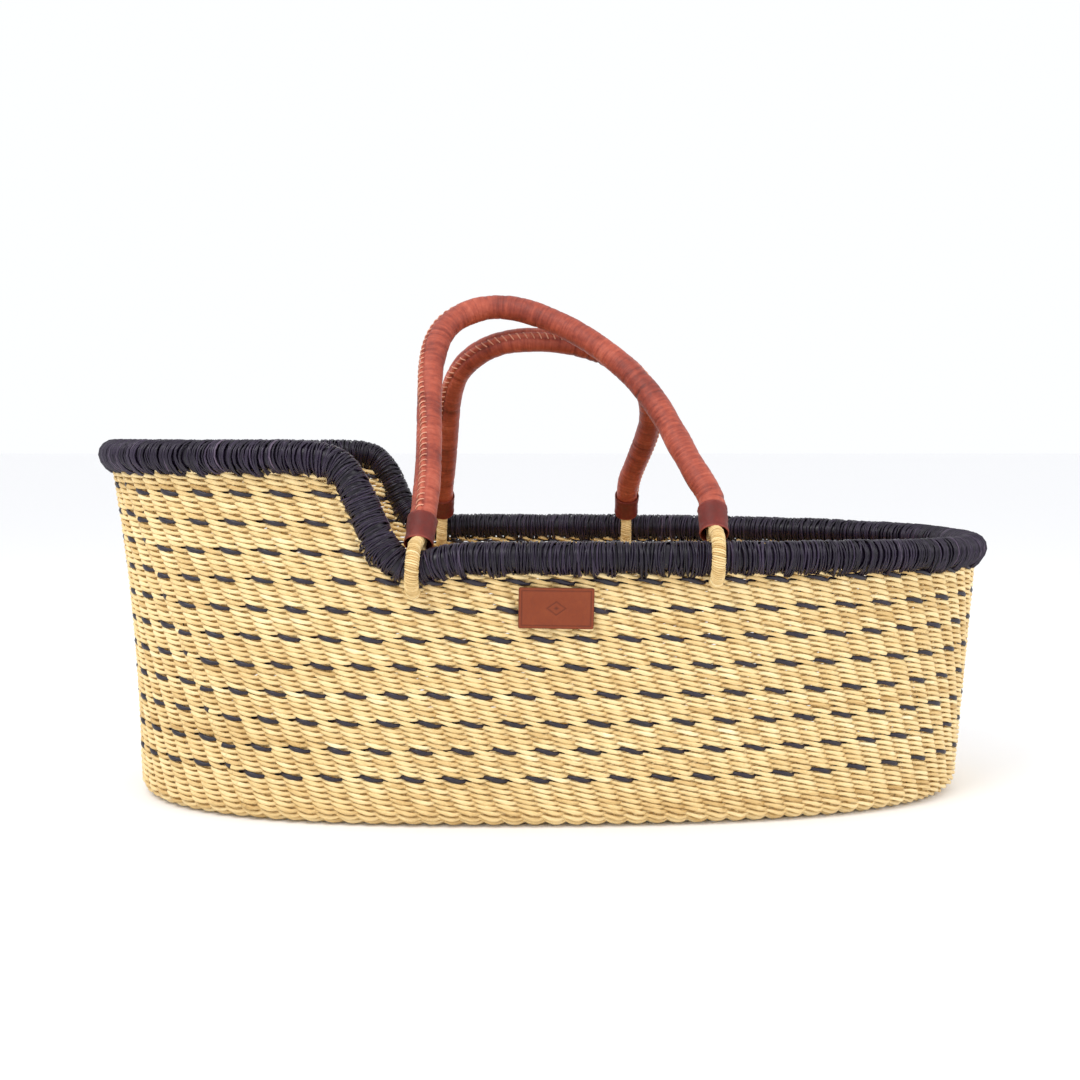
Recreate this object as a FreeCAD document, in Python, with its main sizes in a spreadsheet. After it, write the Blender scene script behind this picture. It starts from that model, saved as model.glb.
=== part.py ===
import FreeCAD, Part
import Sketcher
import math
import os

# Moses basket: an egg shaped, twined grass tub with a raised head end, a grass bound rim and two
# leather covered handles that hang on the rim by grass bound loops.
# +X points to the foot end, -X to the raised head end, -Y is the side with the label, +Z is up.
# The origin lies on the table, under the middle of the basket's length and width.

os.makedirs("parts", exist_ok=True)
doc = FreeCAD.newDocument("moses_basket")
V = FreeCAD.Vector

# ---------------------------------------------------------------- driving dimensions, mm and degrees
sheet = doc.addObject("Spreadsheet::Sheet", "Sizes")
sizes = {
    # plan of the tub, measured to its outer face
    "widest_station": -48.5,
    "base_half_width": 190.0,
    "side_flare": 0.105,
    "base_head_length": 335.0,
    "head_curl": 21.5,
    "head_curl_power": 2.4,
    "base_foot_length": 438.5,
    "foot_flare": 0.067,
    "head_roundness": 2.5,
    "foot_roundness": 2.45,
    "base_corner_radius": 15.0,
    # the wall, from outside to inside: accent courses, weave, gap with the stakes, weave
    "weave_thickness": 2.4,
    "stake_thickness": 3.0,
    "stake_width": 3.6,
    "stake_clearance": 0.6,
    "stake_spacing": 17.7,
    "stake_floor_leg": 55.0,
    "stake_end_clearance": 1.5,
    # height of the rim's centre line
    "foot_rim_height": 230.0,
    "foot_rim_fall": 5.0,
    "head_rise": 82.0,
    "front_step_station": -147.0,
    "back_step_station": -164.0,
    "step_run": 18.0,
    "dip_depth": 10.0,
    "dip_station": -112.0,
    "dip_run": 26.0,
    # the rim: a round grass core in a bound cover that straddles the wall's top edge
    "rim_radius": 13.5,
    "rim_core_radius": 9.5,
    "rim_clearance": 0.3,
    "wall_top_clearance": 1.6,
    # dyed accent courses on the outer face
    "first_accent_height": 44.5,
    "last_accent_drop": 28.5,
    "accent_course_height": 5.0,
    "accent_thickness": 1.2,
    "accent_clearance": 0.3,
    "accent_end_clearance": 0.5,
    # loops round the rim
    "loop_radius": 5.5,
    "loop_clearance": 0.8,
    "loop_leg_gap": 0.3,
    "loop_neck_radius": 14.0,
    "loop_leg_top": 36.0,
    # handles, measured from the rim's centre line along each leg
    "handle_core_radius": 9.3,
    "sleeve_radius": 11.5,
    "sleeve_clearance": 0.3,
    "sleeve_start": 38.5,
    "leg_straight_end": 58.0,
    "cuff_wall": 1.3,
    "cuff_clearance": 0.7,
    "cuff_bottom": 24.0,
    "cuff_top": 50.0,
    "lacing_radius": 1.3,
    "lacing_clearance": 0.45,
    "front_handle_height": 302.6,
    "front_handle_lean": 41.5,
    "front_left_foot": -107.0,
    "front_left_splay": 7.0,
    "front_right_foot": 139.0,
    "front_right_splay": 3.5,
    "back_handle_height": 267.7,
    "back_handle_lean": 44.5,
    "back_left_foot": -113.0,
    "back_left_splay": 4.0,
    "back_right_foot": 89.0,
    "back_right_splay": 0.0,
    # leather label patch
    "label_width": 61.5,
    "label_height": 34.0,
    "label_thickness": 1.8,
    "label_corner_radius": 1.5,
    "label_station": 8.0,
    "label_below_rim": 41.0,
    "label_clearance": 0.3,
}
for row, (alias, value) in enumerate(sizes.items(), start=1):
    sheet.set("A%d" % row, alias)
    sheet.set("B%d" % row, repr(value))
    sheet.setAlias("B%d" % row, alias)
doc.recompute()


def size(alias):
    return float(sheet.get(alias))


accentCount = 11
frameSpacing = 13.0
front = -1
back = 1

# insets of the wall's faces from the outer face of the accent courses
outerWeaveInset = size("accent_thickness") + size("accent_clearance")
stakeOuterInset = outerWeaveInset + size("weave_thickness") + size("stake_clearance")
stakeInnerInset = stakeOuterInset + size("stake_thickness")
innerWeaveInset = stakeInnerInset + size("stake_clearance")
innerFaceInset = innerWeaveInset + size("weave_thickness")
wallThickness = innerFaceInset - outerWeaveInset
midWallInset = 0.5 * (outerWeaveInset + innerFaceInset)
headRimHeight = size("foot_rim_height") + size("head_rise")
wallTopDrop = size("rim_core_radius") + size("wall_top_clearance")
accentPitch = (headRimHeight - size("last_accent_drop") - size("first_accent_height")) / (accentCount - 1)
subparts = []


def keep(node, name, placement=None):
    """Name a finished sub-part and give it its place."""
    node.Label = name
    if placement is not None:
        node.Placement = placement
    subparts.append(node)
    return node


def hide(name, shape):
    """A helper shape that is not a sub-part itself."""
    feature = doc.addObject("Part::Feature", name)
    feature.Shape = shape
    return feature


def boolean(kind, name, base, tool):
    result = doc.addObject("Part::" + kind, name)
    result.Base = base
    result.Tool = tool
    return result


def curveThrough(points):
    curve = Part.BSplineCurve()
    curve.interpolate(Points=points)
    return curve.toShape()


def ringThrough(points):
    """Smooth closed curve, with evenly numbered parameters so that rings of one family match."""
    curve = Part.BSplineCurve()
    curve.interpolate(Points=points, PeriodicFlag=True, Parameters=[float(k) for k in range(len(points) + 1)])
    return curve.toShape()


# ---------------------------------------------------------------- shape of the tub
def planHalfSizes(height):
    """Half width, head length and foot length of the tub's outer face at a height."""
    climb = max(height, 0.0)
    width = size("base_half_width") + size("side_flare") * climb
    curl = size("head_curl") * (climb / headRimHeight) ** size("head_curl_power")
    head = size("base_head_length") + curl
    foot = size("base_foot_length") + size("foot_flare") * climb
    return width, head, foot


def planPoint(height, angle, inset=0.0):
    """Point of the egg shaped plan: angle 0 is the foot end, 180 degrees the head end."""
    width, head, foot = planHalfSizes(height)
    c = math.cos(angle)
    s = math.sin(angle)
    length = foot if c >= 0 else head
    power = 2.0 / size("foot_roundness" if c >= 0 else "head_roundness")
    x = size("widest_station") + math.copysign((length - inset) * abs(c) ** power, c)
    y = math.copysign((width - inset) * abs(s) ** power, s)
    return V(x, y, height)


def sidePoint(x, height, side, inset=0.0):
    """Point of the plan at a station along the length, on the front or the back."""
    width, head, foot = planHalfSizes(height)
    reach = x - size("widest_station")
    length = (foot if reach >= 0 else head) - inset
    roundness = size("foot_roundness" if reach >= 0 else "head_roundness")
    share = max(0.0, 1.0 - (abs(reach) / length) ** roundness)
    return V(x, side * (width - inset) * share ** (1.0 / roundness), height)


def rimHeight(x, side):
    """Height of the rim's centre line: level foot part, steep step, level head part."""
    station = size("front_step_station" if side == front else "back_step_station")
    step = 0.5 * size("head_rise") * (1.0 - math.tanh((x - station) / size("step_run")))
    fall = size("foot_rim_fall") * (max(x, 0.0) / size("base_foot_length")) ** 2
    height = size("foot_rim_height") + step - fall
    if side == front:
        height -= size("dip_depth") * math.exp(-(((x - size("dip_station")) / size("dip_run")) ** 2))
    return height


def belowRim(x, side, drop):
    """Point a set distance below the rim's centre line, square to it, seen from the side."""
    step = 0.5
    slope = (rimHeight(x + step, side) - rimHeight(x - step, side)) / (2 * step)
    run = math.hypot(1.0, slope)
    return V(x + drop * slope / run, 0, rimHeight(x, side) - drop / run)


def heightBelowRim(x, side, drop):
    """Height at a station of the line that runs a set distance below the rim's centre line."""
    low = x - 3 * drop
    high = x + 3 * drop
    for _ in range(40):
        middle = 0.5 * (low + high)
        if belowRim(middle, side, drop).x < x:
            low = middle
        else:
            high = middle
    return belowRim(low, side, drop).z


def sideOf(angle):
    return front if math.sin(angle) < 0 else back


def rimPoint(angle):
    """Point of the rim's centre line, over the middle of the wall."""
    height = size("foot_rim_height")
    for _ in range(12):
        height = rimHeight(planPoint(height, angle, midWallInset).x, sideOf(angle))
    return planPoint(height, angle, midWallInset)


def rimFrames(spacing):
    """Evenly spaced points of the rim's centre line, each with its along, outward and down directions."""
    fine = 7200
    track = [rimPoint(2 * math.pi * (k + 0.5) / fine) for k in range(fine)]
    steps = [(track[k] - track[k - 1]).Length for k in range(fine)]
    count = int(round(sum(steps) / spacing))
    pitch = sum(steps) / count
    frames = []
    travelled = 0.0
    for k in range(fine):
        travelled += steps[k]
        if travelled >= (len(frames) + 0.5) * pitch and len(frames) < count:
            along = (track[(k + 20) % fine] - track[k - 20]).normalize()
            outward = V(along.y, -along.x, 0).normalize()
            frames.append((track[k], along, outward, along.cross(outward)))
    return frames


def columnUnder(frame):
    """Plan angle and height at which the wall ends below a point of the rim."""
    point, along, outward, down = frame
    end = point + down * wallTopDrop
    width, head, foot = planHalfSizes(end.z)
    reach = end.x - size("widest_station")
    length = (foot if reach >= 0 else head) - midWallInset
    roundness = size("foot_roundness" if reach >= 0 else "head_roundness")
    c = math.copysign(abs(reach / length) ** (0.5 * roundness), reach)
    s = math.copysign(abs(end.y / (width - midWallInset)) ** (0.5 * roundness), end.y)
    return math.atan2(s, c), end.z


frames = rimFrames(frameSpacing)
columns = [columnUnder(frame) for frame in frames]


def loftFace(rings):
    return Part.makeLoft(rings, False, False, False).Faces


def tubFaces(inset):
    """Faces of a tub: floor, rounded bottom corner and wall, and the curve of its top edge."""
    radius = size("base_corner_radius") - inset
    floorHeight = inset - outerWeaveInset
    cornerRings = []
    for k in range(5):
        turn = 0.5 * math.pi * k / 4
        height = floorHeight + radius * (1 - math.cos(turn))
        drawIn = inset + radius * (1 - math.sin(turn))
        cornerRings.append(ringThrough([planPoint(height, angle, drawIn) for angle, top in columns]))
    wallRings = [cornerRings[-1]]
    bottom = floorHeight + radius
    for share in (0.18, 0.36, 0.52, 0.68, 0.84, 1.0):
        points = [planPoint(bottom + share * (top - bottom), angle, inset) for angle, top in columns]
        wallRings.append(ringThrough(points))
    floor = Part.Face(Part.Wire(cornerRings[0]))
    corner = loftFace([Part.Wire(ring) for ring in cornerRings])
    wall = loftFace([Part.Wire(ring) for ring in wallRings])
    return [floor] + corner + wall, wallRings[-1]


def layer(name, outerInset, innerInset):
    """Layer of the wall and floor between two insets, with its top edge under the rim."""
    outerFaces, outerTop = tubFaces(outerInset)
    innerFaces, innerTop = tubFaces(innerInset)
    edge = Part.makeRuledSurface(outerTop, innerTop)
    shell = Part.makeCompound(outerFaces + innerFaces + edge.Faces)
    shell.sewShape()
    solid = Part.makeSolid(shell.Shells[0])
    if solid.Volume < 0:
        solid.reverse()
    return hide(name, solid)


# ---------------------------------------------------------------- where the handles stand
def rimCentreAt(x, side):
    return sidePoint(x, rimHeight(x, side), side, midWallInset)


class HandlePlan:
    """Feet, leaning plane and outline of one handle."""

    def __init__(self, name, side, outline):
        self.name = name
        self.side = side
        self.leftFoot = rimCentreAt(size(name + "_left_foot"), side)
        self.rightFoot = rimCentreAt(size(name + "_right_foot"), side)
        self.halfSpan = 0.5 * (self.rightFoot - self.leftFoot).Length
        lean = math.radians(size(name + "_handle_lean"))
        along = (self.rightFoot - self.leftFoot).normalize()
        up = V(0, -side * math.sin(lean), math.cos(lean))
        up = (up - along * up.dot(along)).normalize()
        across = along.cross(up)
        middle = (self.leftFoot + self.rightFoot) * 0.5
        self.placement = FreeCAD.Placement(FreeCAD.Matrix(
            along.x, up.x, across.x, middle.x,
            along.y, up.y, across.y, middle.y,
            along.z, up.z, across.z, middle.z,
            0, 0, 0, 1))
        self.outline = outline

    def legPoint(self, end, distance, across=0.0):
        """Point on a leg's straight line from its foot, in the handle's own plane."""
        splay = math.radians(size("%s_%s_splay" % (self.name, end)))
        foot = -self.halfSpan if end == "left" else self.halfSpan
        return V(foot + distance * math.sin(splay), distance * math.cos(splay), across)

    def curvePoints(self):
        height = size(self.name + "_handle_height")
        middle = [V(x * self.halfSpan, y * height, 0) for x, y in self.outline]
        start = size("sleeve_start")
        straight = size("leg_straight_end")
        distances = [start, 0.5 * (start + straight), straight]
        left = [self.legPoint("left", distance) for distance in distances]
        right = [self.legPoint("right", distance) for distance in reversed(distances)]
        return left + middle + right


# arch outlines as shares of half the span and of the height, from the left leg to the right
handlePlans = [
    HandlePlan("front", front, [
        (-0.92, 0.29), (-0.905, 0.515), (-0.88, 0.77), (-0.73, 0.94), (-0.44, 1.0), (-0.015, 0.945),
        (0.375, 0.807), (0.70, 0.605), (0.895, 0.37), (0.985, 0.26)]),
    HandlePlan("back", back, [
        (-0.906, 0.381), (-0.822, 0.66), (-0.663, 0.866), (-0.307, 0.979), (0.109, 1.0), (0.604, 0.957),
        (0.98, 0.848), (1.17, 0.706), (1.18, 0.563), (1.089, 0.399)]),
]

loopRingRadius = size("rim_radius") + size("loop_radius") + size("loop_clearance")
loopLegOffset = size("loop_radius") + 0.5 * size("loop_leg_gap")
slotDepth = loopRingRadius + size("loop_radius") + size("loop_clearance")


def slotHalfWidth(plan, end):
    splay = math.radians(abs(size("%s_%s_splay" % (plan.name, end))))
    return size("loop_radius") + size("loop_clearance") + slotDepth * math.sin(splay)


def loopSlots():
    """Boxes that open the wall's top edge for the four loops."""
    slots = []
    for plan in handlePlans:
        for end, foot in (("left", plan.leftFoot), ("right", plan.rightFoot)):
            half = slotHalfWidth(plan, end)
            slot = doc.addObject("Part::Box", "%s_%s_slot" % (plan.name, end))
            slot.Length = 2 * half
            slot.Width = 4 * wallThickness
            slot.setExpression("Height", "2 * (Sizes.rim_radius + 2 * (Sizes.loop_radius + Sizes.loop_clearance))")
            slot.Placement.Base = V(foot.x - half, foot.y - 2 * wallThickness, foot.z - slotDepth)
            slots.append(slot)
    group = doc.addObject("Part::MultiFuse", "loop_slots")
    group.Shapes = slots
    return group


slots = loopSlots()
lowestSlot = min(slot.Placement.Base.z for slot in slots.Shapes)


# ---------------------------------------------------------------- woven layers and accent courses
def weaveLayers():
    outer = layer("outer_layer", outerWeaveInset, outerWeaveInset + size("weave_thickness"))
    keep(boolean("Cut", "outer_weave", outer, slots), "outer_weave")
    inner = layer("inner_layer", innerWeaveInset, innerFaceInset)
    keep(boolean("Cut", "inner_weave", inner, slots), "inner_weave")


def accentSection(angle, bottom, top):
    """Upright strip section of an accent course, flush with the plan's outline."""
    thickness = size("accent_thickness")
    corners = [
        planPoint(bottom, angle, 0), planPoint(top, angle, 0),
        planPoint(top, angle, thickness), planPoint(bottom, angle, thickness)]
    return Part.makePolygon(corners + corners[:1])


def coverBox(name, start, end, side, bottom):
    """Box round one side of the tub between two stations, over the height of a course."""
    reach = size("base_head_length") + size("base_foot_length")
    box = doc.addObject("Part::Box", name)
    box.Length = end - start
    box.Width = reach
    box.Height = 3 * size("accent_course_height")
    box.Placement.Base = V(start, 0 if side == back else -reach, bottom - size("accent_course_height"))
    return box


def rimCovers(name, middle, clear):
    """Boxes over the stretches of a course that the rim covers."""
    reach = size("base_head_length") + size("base_foot_length")
    boxes = []
    for side in (front, back):
        stations = sorted(
            (planPoint(middle, columns[k][0]).x, clear[k])
            for k in range(len(columns)) if sideOf(columns[k][0]) == side)
        start = -reach
        covered = False
        for x, free in stations + [(reach, True)]:
            if not free:
                covered = True
                continue
            if covered:
                boxes.append(coverBox(name + "_cover", start, x, side, middle))
            start = x
            covered = False
    return boxes


def accentCourse(number):
    """One dyed course round the tub, left out where the rim covers it or a loop goes through."""
    name = "accent_course_%02d" % (number + 1)
    middle = size("first_accent_height") + number * accentPitch
    bottom = middle - 0.5 * size("accent_course_height")
    top = middle + 0.5 * size("accent_course_height")
    drop = size("rim_radius") + size("accent_end_clearance")
    clear = []
    for angle, wallTop in columns:
        x = planPoint(middle, angle).x
        clear.append(top < heightBelowRim(x, sideOf(angle), drop))
    sections = [accentSection(angle, bottom, top) for angle, wallTop in columns]
    ring = hide(name + "_ring", Part.makeLoft(sections, True, False, True))
    if top < lowestSlot:
        keep(ring, name)
        return
    gaps = doc.addObject("Part::MultiFuse", name + "_gaps")
    gaps.Shapes = [slots] + rimCovers(name, middle, clear)
    keep(boolean("Cut", name, ring, gaps), name)


# ---------------------------------------------------------------- stakes between the two layers
def planTangent(angle):
    step = 0.001
    return (planPoint(0, angle + step) - planPoint(0, angle - step)).normalize()


def wallDepthInPlane(origin, along, inward, angle, height, inset):
    """Distance inward from origin at which an upright plane meets the tub's face at a height."""
    low = angle - 0.15
    high = angle + 0.15
    for _ in range(40):
        middle = 0.5 * (low + high)
        if (planPoint(height, middle, inset) - origin).dot(along) < 0:
            low = middle
        else:
            high = middle
    point = planPoint(height, low, inset) - origin
    return point.dot(inward)


def stakeChain(origin, along, inward, angle, inset, top):
    """Edges of one face of a stake: floor leg, round corner and the climb up the wall."""
    def place(depth, height):
        return origin + inward * depth + V(0, 0, height)

    def wall(height):
        return place(wallDepthInPlane(origin, along, inward, angle, height, inset), height)

    floorHeight = inset - outerWeaveInset
    corner = wall(floorHeight)
    climb = (wall(floorHeight + 20) - corner).normalize()
    radius = size("base_corner_radius") - inset
    opening = inward.getAngle(climb)
    reach = radius / math.tan(opening / 2)
    floorEnd = corner + inward * reach
    wallStart = corner + climb * reach
    centre = floorEnd + V(0, 0, radius)
    middle = centre + (corner - centre).normalize() * radius
    legEnd = place(size("stake_floor_leg"), floorHeight)
    points = [wallStart]
    for share in (0.2, 0.4, 0.6, 0.8, 1.0):
        points.append(wall(wallStart.z + share * (top - wallStart.z)))
    arc = Part.Arc(floorEnd, middle, wallStart).toShape()
    return [Part.makeLine(legEnd, floorEnd), arc, curveThrough(points)]


def stakeTop(x, side):
    """Height where a stake ends: under the wall's top edge, and under a loop's slot."""
    reach = 0.5 * size("stake_width")
    drop = wallTopDrop + size("stake_end_clearance")
    top = min(heightBelowRim(x - reach, side, drop), heightBelowRim(x + reach, side, drop))
    for plan in handlePlans:
        for end, foot in (("left", plan.leftFoot), ("right", plan.rightFoot)):
            margin = slotHalfWidth(plan, end) + reach + size("stake_end_clearance")
            if plan.side == side and abs(foot.x - x) < margin:
                top = min(top, foot.z - slotDepth - size("stake_end_clearance"))
    return top


def stake(angle):
    origin = planPoint(0, angle)
    along = planTangent(angle)
    inward = V(-along.y, along.x, 0)
    side = front if origin.y < 0 else back
    top = stakeTop(origin.x, side)
    outer = stakeChain(origin, along, inward, angle, stakeOuterInset, top)
    inner = stakeChain(origin, along, inward, angle, stakeInnerInset, top)
    legCap = Part.makeLine(inner[0].Vertexes[0].Point, outer[0].Vertexes[0].Point)
    topCap = Part.makeLine(outer[2].Vertexes[-1].Point, inner[2].Vertexes[-1].Point)
    face = Part.Face(Part.Wire([legCap] + outer + [topCap] + inner[::-1]))
    half = 0.5 * size("stake_width")
    face.translate(along * -half)
    return face.extrude(along * (2 * half))


def stakeAngles():
    """Angles of evenly spaced stakes round the base."""
    fine = 3600
    outline = sum((planPoint(0, 2 * math.pi * (k + 1) / fine) - planPoint(0, 2 * math.pi * k / fine)).Length
                  for k in range(fine))
    count = int(round(outline / size("stake_spacing")))
    travelled = 0.0
    angles = []
    previous = planPoint(0, 0)
    for k in range(1, fine + 1):
        angle = 2 * math.pi * k / fine
        point = planPoint(0, angle)
        travelled += (point - previous).Length
        previous = point
        if travelled >= (len(angles) + 0.5) * outline / count and len(angles) < count:
            angles.append(angle)
    return angles


def stakes():
    groups = {"front_stakes": [], "back_stakes": [], "head_stakes": [], "foot_stakes": []}
    for angle in stakeAngles():
        x = planPoint(0, angle).x
        if x < size("widest_station") - 0.6 * size("base_head_length"):
            groups["head_stakes"].append(stake(angle))
        elif x > size("widest_station") + 0.7 * size("base_foot_length"):
            groups["foot_stakes"].append(stake(angle))
        elif planPoint(0, angle).y < 0:
            groups["front_stakes"].append(stake(angle))
        else:
            groups["back_stakes"].append(stake(angle))
    for name, shapes in groups.items():
        keep(hide(name, Part.makeCompound(shapes)), name)


def baseCrossStakes():
    """Straight stakes across the floor, between the ends of the floor legs."""
    inset = size("stake_floor_leg") + size("stake_width")
    rods = []
    reach = size("base_foot_length") - inset
    steps = int(reach // size("stake_spacing"))
    for k in range(-steps, steps + 1):
        x = size("widest_station") + k * size("stake_spacing")
        half = abs(sidePoint(x, 0, back, inset).y)
        if half > size("stake_spacing") and x > size("widest_station") - size("base_head_length") + inset:
            rod = Part.makeBox(size("stake_width"), 2 * half, size("stake_thickness"))
            rod.translate(V(x - 0.5 * size("stake_width"), -half, stakeOuterInset - outerWeaveInset))
            rods.append(rod)
    keep(hide("base_cross_stakes", Part.makeCompound(rods)), "base_cross_stakes")


# ---------------------------------------------------------------- rim
def sweepCircle(name, spine, radius, start, direction):
    """Round bar of a radius bound to the sheet along a spine."""
    circle = doc.addObject("Part::Circle", name + "_section")
    circle.setExpression("Radius", radius)
    circle.Placement = FreeCAD.Placement(start, FreeCAD.Rotation(V(0, 0, 1), direction))
    sweep = doc.addObject("Part::Sweep", name)
    sweep.Sections = [circle]
    sweep.Spine = (spine, ["Edge%d" % (k + 1) for k in range(len(spine.Shape.Edges))])
    sweep.Solid = True
    sweep.Frenet = False
    return sweep


def ringOf(name, sectionWire):
    """Closed ring lofted through one section at each frame of the rim."""
    sections = [sectionWire(*frame) for frame in frames]
    return hide(name, Part.makeLoft(sections, True, False, True))


def rim():
    coreRadius = size("rim_core_radius")
    coverRadius = size("rim_radius")
    boreRadius = coreRadius + size("rim_clearance")
    halfSlit = 0.5 * wallThickness + size("rim_clearance")

    def roundSection(point, direction, outward, down):
        """Full round section, in two halves."""
        left = point - outward * coreRadius
        right = point + outward * coreRadius
        return Part.Wire([
            Part.Arc(left, point + down * coreRadius, right).toShape(),
            Part.Arc(right, point - down * coreRadius, left).toShape(),
        ])

    def coverSection(point, direction, outward, down):
        """Ring section that is open below, where it straddles the wall."""
        def at(across, depth):
            return point + outward * across + down * depth

        outerDepth = math.sqrt(coverRadius ** 2 - halfSlit ** 2)
        boreDepth = math.sqrt(boreRadius ** 2 - halfSlit ** 2)
        return Part.Wire([
            Part.Arc(at(-halfSlit, outerDepth), at(0, -coverRadius), at(halfSlit, outerDepth)).toShape(),
            Part.makeLine(at(halfSlit, outerDepth), at(halfSlit, boreDepth)),
            Part.Arc(at(halfSlit, boreDepth), at(0, -boreRadius), at(-halfSlit, boreDepth)).toShape(),
            Part.makeLine(at(-halfSlit, boreDepth), at(-halfSlit, outerDepth)),
        ])

    keep(ringOf("rim_core", roundSection), "rim_core")
    keep(ringOf("rim_binding", coverSection), "rim_binding")


# ---------------------------------------------------------------- label patch
def labelPlacement():
    """Upright on the front wall, flat against it at its centre."""
    x = size("label_station")
    z = rimHeight(x, front) - size("label_below_rim")
    step = 0.5
    centre = sidePoint(x, z, front)
    along = (sidePoint(x + step, z, front) - sidePoint(x - step, z, front)).normalize()
    up = (sidePoint(x, z + step, front) - sidePoint(x, z - step, front)).normalize()
    outward = along.cross(up).normalize()
    up = outward.cross(along)
    base = centre + outward * size("label_clearance")
    return FreeCAD.Placement(FreeCAD.Matrix(
        along.x, up.x, outward.x, base.x,
        along.y, up.y, outward.y, base.y,
        along.z, up.z, outward.z, base.z,
        0, 0, 0, 1))


def labelPatch():
    body = doc.addObject("PartDesign::Body", "label_body")
    sketch = body.newObject("Sketcher::SketchObject", "label_outline")
    plane = [f for f in body.Origin.OriginFeatures if f.Role == "XY_Plane"][0]
    sketch.AttachmentSupport = [(plane, "")]
    sketch.MapMode = "FlatFace"
    x = 0.5 * size("label_width")
    y = 0.5 * size("label_height")
    corners = [V(-x, -y, 0), V(x, -y, 0), V(x, y, 0), V(-x, y, 0)]
    for k in range(4):
        sketch.addGeometry(Part.LineSegment(corners[k], corners[(k + 1) % 4]), False)
    for k in range(4):
        sketch.addConstraint(Sketcher.Constraint("Coincident", k, 2, (k + 1) % 4, 1))
    for k, direction in enumerate(("Horizontal", "Vertical", "Horizontal", "Vertical")):
        sketch.addConstraint(Sketcher.Constraint(direction, k))
    sketch.addConstraint(Sketcher.Constraint("Symmetric", 0, 1, 1, 2, -1, 1))
    width = sketch.addConstraint(Sketcher.Constraint("DistanceX", 0, 1, 0, 2, 2 * x))
    height = sketch.addConstraint(Sketcher.Constraint("DistanceY", 1, 1, 1, 2, 2 * y))
    sketch.setExpression("Constraints[%d]" % width, "Sizes.label_width")
    sketch.setExpression("Constraints[%d]" % height, "Sizes.label_height")
    pad = body.newObject("PartDesign::Pad", "label_pad")
    pad.Profile = sketch
    pad.setExpression("Length", "Sizes.label_thickness")
    doc.recompute()
    upright = []
    for number, edge in enumerate(pad.Shape.Edges, start=1):
        if abs(edge.BoundBox.ZLength - size("label_thickness")) < 0.01 and edge.BoundBox.XLength < 0.01:
            upright.append("Edge%d" % number)
    corner = body.newObject("PartDesign::Fillet", "label_corners")
    corner.Base = (pad, upright)
    corner.setExpression("Radius", "Sizes.label_corner_radius")
    body.Tip = corner
    keep(body, "label_patch", labelPlacement())


# ---------------------------------------------------------------- handles
def loopPath(plan, end):
    """Keyhole path: a ring round the rim that draws in to two legs side by side."""
    neck = size("loop_neck_radius")
    neckHeight = math.sqrt((loopRingRadius + neck) ** 2 - (loopLegOffset + neck) ** 2)
    share = loopRingRadius / (loopRingRadius + neck)
    joinAcross = share * (loopLegOffset + neck)
    joinHeight = share * neckHeight
    bend = 0.5 * (math.pi + math.atan2(joinHeight - neckHeight, joinAcross - loopLegOffset - neck) % (2 * math.pi))
    midAcross = loopLegOffset + neck + neck * math.cos(bend)
    midHeight = neckHeight + neck * math.sin(bend)
    top = size("loop_leg_top")

    def at(across, height):
        return plan.legPoint(end, height, across)

    edges = [
        Part.makeLine(at(loopLegOffset, top), at(loopLegOffset, neckHeight)),
        Part.Arc(at(loopLegOffset, neckHeight), at(midAcross, midHeight), at(joinAcross, joinHeight)).toShape(),
        Part.Arc(at(joinAcross, joinHeight), at(0, -loopRingRadius), at(-joinAcross, joinHeight)).toShape(),
        Part.Arc(at(-joinAcross, joinHeight), at(-midAcross, midHeight), at(-loopLegOffset, neckHeight)).toShape(),
        Part.makeLine(at(-loopLegOffset, neckHeight), at(-loopLegOffset, top)),
    ]
    return Part.Wire(edges)


def cuff(plan, end):
    """Short leather tube over the foot of the sleeve and the top of the loop."""
    name = "%s_handle_%s_cuff" % (plan.name, end)
    outer = doc.addObject("Part::Cylinder", name + "_outside")
    bore = doc.addObject("Part::Cylinder", name + "_bore")
    inside = "max(Sizes.sleeve_radius; 2 * Sizes.loop_radius + 0.5 * Sizes.loop_leg_gap) + Sizes.cuff_clearance"
    bore.setExpression("Radius", inside)
    outer.setExpression("Radius", inside + " + Sizes.cuff_wall")
    bottom = plan.legPoint(end, size("cuff_bottom"))
    direction = (plan.legPoint(end, size("cuff_top")) - bottom).normalize()
    for cylinder in (outer, bore):
        cylinder.setExpression("Height", "Sizes.cuff_top - Sizes.cuff_bottom")
        cylinder.Placement = FreeCAD.Placement(bottom, FreeCAD.Rotation(V(0, 0, 1), direction))
    keep(boolean("Cut", name + "_tube", outer, bore), name, plan.placement)


def lacingPoints(plan, arch):
    """Line of the sleeve's laced seam, on the outside of the arch."""
    edge = arch.Shape.Edges[0]
    offset = size("sleeve_radius") + size("lacing_clearance") + size("lacing_radius")
    startShare = (size("cuff_top") + 3 - size("sleeve_start")) / edge.Length
    count = 48
    points = []
    for k in range(count + 1):
        share = startShare + (1 - 2 * startShare) * k / count
        parameter = edge.getParameterByLength(share * edge.Length)
        tangent = edge.tangentAt(parameter)
        points.append(edge.valueAt(parameter) + V(-tangent.y, tangent.x, 0) * offset)
    return points


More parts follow.
